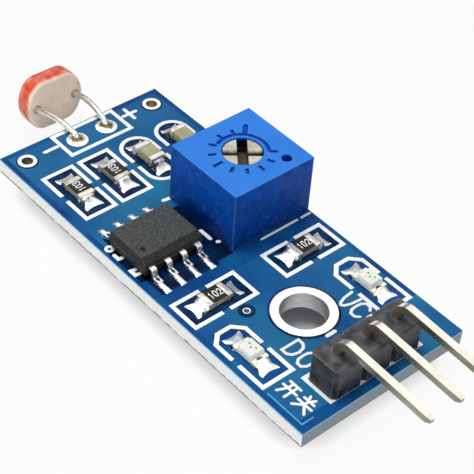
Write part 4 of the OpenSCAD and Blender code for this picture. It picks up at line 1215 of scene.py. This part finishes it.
    def dress(self) -> None:
        """Gives the board, its print and its plating their finishes."""
        paint(MASK, "circuit_board")
        paint(INK, "board_legend")
        paint(RING_TIN, "mounting_hole_plating")
        paint(CORNER_TIN, *numbered("corner_hole_plating", len(self.corner_holes)))


@dataclass
class Photoresistor:
    """The disc with its stained ceramic, its resin coat and its two leads."""

    back: Point3 = (-27.5, 0.0, 1.3)
    tilt: float = 3.0
    radius: float = 2.475
    across_flats: float = 4.1
    thickness: float = 1.15
    bare: float = 0.62
    back_round: float = 0.3
    wall: float = 0.12
    resin: float = 0.5
    resin_round: float = 0.42
    rim_chamfer: Point2 = (0.1, 0.02)
    film_space: float = 0.11
    window_margin: float = 0.52
    window_lip: float = 0.03
    window_dome: tuple[Point2, ...] = ((-0.04, 0.0), (0.0, 0.1), (0.01, 0.5))
    gap: float = 0.006
    leads: int = 2
    lead_spacing: float = 3.4
    bead_radius: float = 0.40
    bead_height: float = 0.14
    bead_sink: float = 0.03
    bead_waist: Point2 = (0.8, 0.45)
    bead_tip: float = 0.6
    steps: int = 96
    softened: int = 3

    def matrix(self) -> Matrix:
        """The place of the disc, whose own Z axis runs out of the light-sensitive face."""
        return Matrix.Translation(self.back) @ Matrix.Rotation(math.radians(-90 - self.tilt), 4, "Y")

    def ring(self, reach: float, margin: float) -> list[Vector]:
        """The disc's outline, drawn in by a margin.

        Args:
            reach: the distance from the back of the base.
            margin: how far the outline is drawn in.

        Returns:
            The outline's points in the disc's own axes.
        """
        flat = self.across_flats / 2 - margin
        sharp = [Vector((max(-flat, min(flat, x)), y, reach))
                 for x, y in circle((0, 0), self.radius - margin, self.steps)]
        near = range(-self.softened, self.softened + 1)
        return [sum((sharp[(i + k) % self.steps] for k in near), Vector()) / len(near)
                for i in range(self.steps)]

    def build(self) -> None:
        """Makes the base, the coat and the beads where the leads enter."""
        matrix = self.matrix()
        axis = matrix.to_3x3() @ Vector((0, 0, 1))
        ceramic, stained = (replace(finish, origin=self.back, direction=tuple(axis))
                            for finish in (CERAMIC, STAINED))
        self.base().moved(matrix).build("sensor_disc", ceramic, Slot.SENSOR_CERAMIC, replaces=["sensor_base"])
        self.rim().moved(matrix).build("sensor_rim", stained, Slot.SENSOR_RESIN, replaces=["sensor_resin"])
        self.window().moved(matrix).build("sensor_window", RESIN, Slot.SENSOR_RESIN)
        self.beads().moved(matrix).build("sensor_lead_beads", BEAD, Slot.SENSOR_CERAMIC)

    def base(self) -> Mesh:
        """The ceramic base, rounded at its back and stepped in under the coat.

        Returns:
            A closed mesh in the disc's own axes.
        """
        rings = [self.ring(self.back_round * (1 - math.cos(a)), self.back_round * (1 - math.sin(a)))
                 for a in QUARTER]
        rings += [self.ring(self.bare, 0.0), self.ring(self.bare, self.wall),
                  self.ring(self.thickness, self.wall)]
        mesh = Mesh()
        mesh.loft(rings)
        return mesh

    def beads(self) -> Mesh:
        """The beads where the two leads enter the base.

        Returns:
            A mesh of two low cones in the disc's own axes.
        """
        share, depth = self.bead_waist
        profile = ((self.bead_radius, self.bead_sink), (self.bead_radius * share, -depth * self.bead_height),
                   (self.bead_radius * self.bead_tip, -self.bead_height))
        mesh = Mesh()
        for side in (-1, 1):
            centre = (0.0, side * self.lead_spacing / 2)
            mesh.loft([[Vector((x, y, z)) for x, y in circle(centre, r, SMALL_STEPS)] for r, z in profile])
        return mesh

    def rim(self) -> Mesh:
        """The stained coat around the base, rounded at its front.

        Returns:
            A closed ring in the disc's own axes.
        """
        front = self.thickness + self.resin
        over = self.thickness + self.film_space
        rise, inset = self.rim_chamfer
        profile = [(self.bare + self.gap, inset), (self.bare + rise, 0.0)]
        profile += [(front - self.resin_round * (1 - math.sin(a)), self.resin_round * (1 - math.cos(a)))
                    for a in QUARTER]
        profile += [(front - self.window_lip, self.window_margin), (over, self.window_margin),
                    (over, self.wall - self.gap), (self.bare + self.gap, self.wall - self.gap)]
        mesh = Mesh()
        rings = [self.ring(reach, margin) for reach, margin in profile]
        mesh.loft(rings + rings[:1], first_cap=False, last_cap=False)
        return mesh

    def window(self) -> Mesh:
        """The clear coat over the light-sensitive face.

        Returns:
            A closed plate in the disc's own axes.
        """
        front = self.thickness + self.resin
        margin = self.window_margin + self.gap
        rings = [self.ring(self.thickness + self.film_space, margin)]
        rings += [self.ring(front + reach, margin + inset) for reach, inset in self.window_dome]
        mesh = Mesh()
        mesh.loft(rings)
        return mesh

    def dress(self) -> None:
        """Gives the film, electrodes, leads and solder their finishes."""
        paint(FILM, "sensor_track")
        paint(ELECTRODE, "sensor_electrodes")
        paint(WIRE, *numbered("sensor_lead", self.leads))
        paint(PAD_SOLDER, *numbered("sensor_solder", self.leads))


@dataclass
class Trimmer:
    """The blue trimmer with its cream rotor."""

    axis: Point2 = (-10.55, 3.475)
    top: float = BOARD_TOP + 4.75
    rotor_sink: float = 0.08
    opening: float = 1.6
    pins: int = 3

    def dress(self) -> None:
        """Gives the case, the rotor and the inner pieces their finishes."""
        paint(replace(SHELL, axis=self.axis, top=self.top, opening=self.opening), "trimmer_case")
        paint(replace(ROTOR, face=self.top - self.rotor_sink), "trimmer_rotor")
        paint(WIPER, "trimmer_wiper")
        paint(RUBBER, "trimmer_seal")
        paint(RESISTIVE, "trimmer_track")
        paint(WHITE_CERAMIC, "trimmer_substrate")
        paint(FILLING, "trimmer_filling")
        paint(WIRE, *numbered("trimmer_pin", self.pins))
        paint(SOLDER, "trimmer_solder")


@dataclass
class SolderFillet:
    """The solder at one terminal: a pad with a hollow slope up the terminal's end."""

    toe: float
    width: float
    rise: float
    tuck: float = 0.15
    tuck_share: float = 6.0
    film: float = 0.05
    hollow: float = 2.2
    notch: float = 0.2
    notch_place: float = 0.36
    notch_reach: float = 0.2
    bay: float = 0.15
    brink: float = 0.013
    drift: float = 0.2
    squareness: int = 4
    toe_squareness: int = 8
    film_round: float = 0.5
    slope_round: float = 0.7
    rise_draw: Point2 = (0.88, 1.0)
    lean_draw: Point2 = (-0.12, 0.12)
    bulge_draw: Point2 = (0.02, 0.07)
    notch_draw: Point2 = (0.5, 1.2)
    along: int = 20
    across: int = 14

    def mesh(self, end: float, draw: random.Random) -> Mesh:
        """One fillet that starts at the terminal's end and runs along X.

        Args:
            end: the distance of the terminal's end from the part's middle.
            draw: the source of its small irregularities.

        Returns:
            A closed mesh that stands on Z = 0.
        """
        rise = self.rise * draw.uniform(*self.rise_draw)
        lean = draw.uniform(*self.lean_draw)
        bulge = draw.uniform(*self.bulge_draw)
        pinches = [self.notch * draw.uniform(*self.notch_draw) for _ in range(2)]
        rows = []
        for i in range(self.along + 1):
            u = i / self.along
            near = math.exp(-((u - self.notch_place) / self.notch_reach) ** 2)
            heel = end - self.tuck * (1 - min(1.0, self.tuck_share * u))
            row = []
            for j in range(self.across + 1):
                v = 2 * j / self.across - 1
                half = self.width / 2 * (1 - near * pinches[v > 0])
                round_off = 1 - abs(v) ** self.squareness
                height = self.film * round_off ** self.film_round * (1 - u ** self.toe_squareness)
                height += rise * (1 - u) ** self.hollow * round_off ** self.slope_round
                height += bulge * math.sin(math.pi * u) * round_off * (1 + 2 * lean * v)
                reach = self.toe * (1 - self.bay * (1 - v * v))
                row.append(Vector((heel + reach * u, half * v + lean * self.drift * u,
                                   max(height, self.brink))))
            rows.append(row)
        mesh = Mesh()
        mesh.slab(rows)
        return mesh


def solder_row(fillet: SolderFillet, end: float, places: Iterable[Place], seed: int,
               far: SolderFillet | None = None) -> Mesh:
    """The fillets at both ends of a row of parts.

    Args:
        fillet: the sizes of one fillet.
        end: the distance of a terminal's end from its part's middle.
        places: station, row and turn of each part.
        seed: the start of the irregularities.
        far: the sizes at the end towards -X, where they differ.

    Returns:
        One mesh with all the fillets, on the board's top.
    """
    draw, mesh = random.Random(seed), Mesh()
    for x, y, turn in places:
        for flip, shape in ((0, fillet), (180, far or fillet)):
            turned = Matrix.Rotation(math.radians(turn + flip), 4, "Z")
            matrix = Matrix.Translation((x, y, BOARD_TOP)) @ turned
            mesh.add(shape.mesh(end, draw).moved(matrix))
    return mesh


@dataclass
class ComparatorChip:
    """The moulded chip with its gull-wing leads."""

    place: Point2 = (-10.55, -3.9)
    height: float = 1.5
    lead_exit: float = 0.78
    leads: int = 4
    lead_pitch: float = 1.27
    lead_tip: float = 3.0
    fillet: SolderFillet = field(default_factory=lambda: SolderFillet(
        0.9, 0.46, 0.08, 0.45, film=0.08, hollow=2.6, notch=0.0, bay=0.0, across=8))
    far_toe: float = 0.66
    seed: int = 3

    def build(self) -> None:
        """Makes the solder at the leads' feet."""
        middle = (self.leads - 1) / 2
        rows = [(self.place[0], self.place[1] + (i - middle) * self.lead_pitch, 0.0)
                for i in range(self.leads)]
        far = replace(self.fillet, toe=self.far_toe)
        solder_row(self.fillet, self.lead_tip, rows, self.seed, far).build(
            "comparator_fillets", LEAD_SOLDER, Slot.SOLDER, replaces=["comparator_solder"])

    def dress(self) -> None:
        """Gives the moulding and the leads their finishes."""
        paint(replace(MOULDING, top=BOARD_TOP + self.height, line_level=BOARD_TOP + self.lead_exit),
              "comparator_body")
        paint(replace(LEAD_TIN, middle=self.place, leads=self.leads, pitch=self.lead_pitch),
              "comparator_leads")


@dataclass
class ChipParts:
    """The chip resistors, capacitors and lamps."""

    length: float = 2.0
    pad: Point2 = (0.98, 1.42)
    resistor_solder: float = 0.54
    capacitor_solder: float = 0.70
    lamp_solder: float = 0.24
    resistor_seed: int = 5
    capacitor_seed: int = 7
    lamp_seed: int = 11
    codes: tuple[tuple[str, float], ...] = (("103", 180), ("103", 180), ("102", 0), ("102", 0))
    digit: Point2 = (0.24, 0.52)
    digit_step: float = 0.36
    digit_stroke: float = 0.07
    glaze_top: float = 0.57
    ink: float = 0.012
    lens_top: float = 0.69
    speck_radius: float = 0.065
    speck_steps: int = 12
    speck_places: tuple[Point2, ...] = ((-0.3, 0.12), (0.02, -0.05), (0.28, 0.16))

    def build(self) -> None:
        """Makes the solder, the resistors' codes and the lamps' bond marks."""
        for kind, places, rise, seed in (
                ("resistor", RESISTORS, self.resistor_solder, self.resistor_seed),
                ("capacitor", CAPACITORS, self.capacitor_solder, self.capacitor_seed),
                ("lamp", LAMPS, self.lamp_solder, self.lamp_seed)):
            solder_row(SolderFillet(*self.pad, rise), self.length / 2, places, seed).build(
                f"{kind}_fillets", SOLDER, Slot.SOLDER, replaces=[f"{kind}_solder"])
        self.printed_codes().build("resistor_codes", INK, Slot.LEGEND_INK)
        self.specks().build("lamp_specks", DIE, Slot.LAMP_DIE)

    def printed_codes(self) -> Mesh:
        """The value codes on the resistors.

        Returns:
            A mesh of thin lines on the glaze.
        """
        mesh = Mesh()
        low = BOARD_TOP + self.glaze_top
        for (x, y, turn), (code, flip) in zip(RESISTORS, self.codes):
            matrix = Matrix.Rotation(math.radians(turn + flip), 2)
            run = self.digit_step * (len(code) - 1) + self.digit[0]
            for i, sign in enumerate(code):
                start = Vector((i * self.digit_step - run / 2, -self.digit[1] / 2))
                corner = Vector((x, y)) + matrix @ start
                GLYPHS[sign].draw(mesh, tuple(corner), self.digit, self.digit_stroke, low, low + self.ink,
                                  turn + flip)
        return mesh

    def specks(self) -> Mesh:
        """The small dark bond marks on the lenses.

        Returns:
            A mesh of thin discs.
        """
        mesh = Mesh()
        low = BOARD_TOP + self.lens_top
        for x, y, _ in LAMPS:
            for along, across in self.speck_places:
                disc = circle((x + along, y + across), self.speck_radius, self.speck_steps)
                mesh.plate(disc, low, low + self.ink)
        return mesh

    def dress(self) -> None:
        """Gives bodies, caps, glaze, lenses and light chips their finishes."""
        resistors, capacitors, lamps = len(RESISTORS), len(CAPACITORS), len(LAMPS)
        paint(RESISTOR_CERAMIC, *numbered("resistor_body", resistors))
        paint(GLAZE, *numbered("resistor_glaze", resistors))
        paint(END_CAP, *numbered("resistor_caps", resistors), *numbered("capacitor_caps", capacitors))
        paint(LAMP_TIN, *numbered("lamp_terminals", lamps))
        paint(TAN_CERAMIC, *numbered("capacitor_body", capacitors))
        paint(LAMINATE, *numbered("lamp_base", lamps))
        paint(DIE, *numbered("lamp_die", lamps))
        paint(LENS, *numbered("lamp_lens", lamps))


@dataclass
class Header:
    """The moulded header with its bent pins."""

    pins: int = 3

    def dress(self) -> None:
        """Gives the block, the pins and their solder their finishes."""
        paint(HEADER_BLACK, "header_block")
        paint(PIN_TIN, *numbered("header_pin", self.pins))
        paint(SOLDER, "header_solder")


@dataclass
class Studio:
    """The pale table, the soft lamps and the camera."""

    floor_level: float = -1.52
    floor_size: float = 4000.0
    floor_colour: Colour = (0.62, 0.62, 0.62)
    footprint: Box = ((-8.5, 0.0), (13.1, 4.1))
    shadow_reach: float = 3.2
    darkest: float = 0.03
    whiteness: float = 0.92
    wall_radius: float = 500.0
    wall_levels: Point2 = (25.0, 230.0)
    wall_steps: int = 48
    wall_colour: Colour = (0.03, 0.03, 0.035)
    matt: float = 0.9
    faint: float = 0.1
    sky: float = 0.21
    lamps: tuple[tuple[Point3, float, float], ...] = (
        ((-110.0, -20.0, 440.0), 250.0, 1.62), ((320.0, -60.0, 150.0), 160.0, 0.43),
        ((-60.0, -330.0, 45.0), 120.0, 0.43))
    camera_place: Point3 = (44.952, -49.062, 68.206)
    camera_turn: tuple[float, float, float, float] = (0.826926, 0.37536, 0.145059, 0.392755)
    lens: float = 110.73
    sensor_width: float = 36.0
    clip: Point2 = (5.0, 20000.0)

    def build(self) -> None:
        """Makes the table, the sky, the lamps and the camera."""
        self.table()
        self.wall()
        self.surroundings()
        for place, size, power in self.lamps:
            self.lamp(place, size, power)
        self.camera()
        bpy.context.scene.view_settings.view_transform = "Standard"

    def table(self) -> None:
        """Makes the pale table top, which is white to the camera but keeps the shadow."""
        half = self.floor_size / 2
        corners = [Vector((x * half, y * half, self.floor_level)) * MM
                   for x, y in ((-1, -1), (1, -1), (1, 1), (-1, 1))]
        data = bpy.data.meshes.new("table")
        data.from_pydata(corners, [], [(0, 1, 2, 3)])
        sheet = self.dull_sheet("table_white", self.floor_colour)
        glow = sheet.node("ShaderNodeEmission", {"Color": (1, 1, 1, 1), "Strength": 1.0})
        seen = sheet.math("MULTIPLY", seen_rays(sheet), self.away(sheet))
        blend = sheet.node("ShaderNodeMixShader", {0: seen, 1: sheet.shader.outputs[0], 2: glow.outputs[0]})
        sheet.put(sheet.nodes["Material Output"].inputs["Surface"], blend.outputs[0])
        data.materials.append(sheet.material)
        floor = placed("table", data)

    def dull_sheet(self, name: str, colour: Colour) -> Sheet:
        """A matt surface of one colour.

        Args:
            name: the material's name.
            colour: its colour.

        Returns:
            The material's node sheet.
        """
        sheet = Sheet(name)
        sheet.set(Base_Color=(*colour, 1), Roughness=self.matt, Specular_IOR_Level=self.faint)
        return sheet

    def away(self, sheet: Sheet) -> Socket:
        """How white the table is, from its shaded middle under the board to the open part.

        Args:
            sheet: the table's node sheet.

        Returns:
            The share of plain white.
        """
        gaps = []
        for value, centre, half in zip(sheet.axes(sheet.place), *self.footprint):
            distance = sheet.math("ABSOLUTE", sheet.math("SUBTRACT", value, centre * MM), 0)
            beyond = sheet.math("MAXIMUM", sheet.math("SUBTRACT", distance, half * MM), 0)
            gaps.append(sheet.math("POWER", beyond, 2))
        reach = sheet.math("SQRT", sheet.math("ADD", *gaps), 0)
        return sheet.span(reach, 0, self.shadow_reach * MM, self.darkest, self.whiteness)

    def wall(self) -> None:
        """Makes the dim wall that only shows in polished metal."""
        steps = self.wall_steps
        rings = [[(x * MM, y * MM, level * MM) for x, y in circle((0, 0), self.wall_radius, steps)]
                 for level in self.wall_levels]
        faces = [(i, (i + 1) % steps, steps + (i + 1) % steps, steps + i) for i in range(steps)]
        data = bpy.data.meshes.new("dim_wall")
        data.from_pydata(rings[0] + rings[1], [], faces)
        data.materials.append(self.dull_sheet("dim_wall", self.wall_colour).material)
        wall = placed("dim_wall", data)
        wall.visible_camera = wall.visible_diffuse = wall.visible_shadow = wall.visible_transmission = False

    def surroundings(self) -> None:
        """Makes a soft sky, which is white to the camera, in mirrors and through glass."""
        world = bpy.data.worlds.new("studio_sky")
        world.use_nodes = True
        bpy.context.scene.world = world
        nodes, links = world.node_tree.nodes, world.node_tree.links
        path = nodes.new("ShaderNodeLightPath")
        total = path.outputs["Is Camera Ray"]
        for kind in ("Is Glossy Ray", "Is Transmission Ray"):
            joined = nodes.new("ShaderNodeMath")
            joined.operation = "ADD"
            links.new(total, joined.inputs[0])
            links.new(path.outputs[kind], joined.inputs[1])
            total = joined.outputs[0]
        level = nodes.new("ShaderNodeMapRange")
        links.new(total, level.inputs[0])
        level.inputs["To Min"].default_value = self.sky
        level.inputs["To Max"].default_value = 1.0
        sky = nodes["Background"]
        sky.inputs["Color"].default_value = (1, 1, 1, 1)
        links.new(level.outputs[0], sky.inputs["Strength"])

    def lamp(self, place: tuple[float, float, float], size: float, power: float) -> None:
        """Makes one soft square lamp that looks at the module.

        Args:
            place: its place, in millimetres.
            size: its side, in millimetres.
            power: its power, in watts.
        """
        data = bpy.data.lights.new("softbox", "AREA")
        data.size, data.energy = size * MM, power
        holder = placed("softbox", data)
        holder.location = Vector(place) * MM
        holder.rotation_euler = (-Vector(place)).to_track_quat("-Z", "Y").to_euler()

    def camera(self) -> None:
        """Makes the camera at the photograph's viewing angle."""
        data = bpy.data.cameras.new("camera")
        data.lens, data.sensor_width = self.lens, self.sensor_width
        data.clip_start, data.clip_end = (end * MM for end in self.clip)
        holder = placed("camera", data)
        holder.location = Vector(self.camera_place) * MM
        holder.rotation_mode = "QUATERNION"
        holder.rotation_quaternion = Quaternion(self.camera_turn)
        bpy.context.scene.camera = holder


def seen_rays(sheet: Sheet) -> Socket:
    """1 for rays from the camera, a mirror or through glass, and 0 for the rest.

    Args:
        sheet: the material's node sheet.

    Returns:
        The share's socket.
    """
    path = sheet.nodes.new("ShaderNodeLightPath")
    mirror = sheet.math("MAXIMUM", path.outputs["Is Glossy Ray"], path.outputs["Is Transmission Ray"])
    return sheet.math("MAXIMUM", path.outputs["Is Camera Ray"], mirror)


def main() -> None:
    """Builds and dresses the sub-assemblies in order, and then the studio."""
    logging.basicConfig(level=logging.INFO, format="%(name)s: %(message)s")
    for part in (CircuitBoard(), Photoresistor(), ComparatorChip(), ChipParts()):
        part.build()
        part.dress()
    for part in (Trimmer(), Header()):
        part.dress()
    Studio().build()


if __name__ == "__main__":
    main()
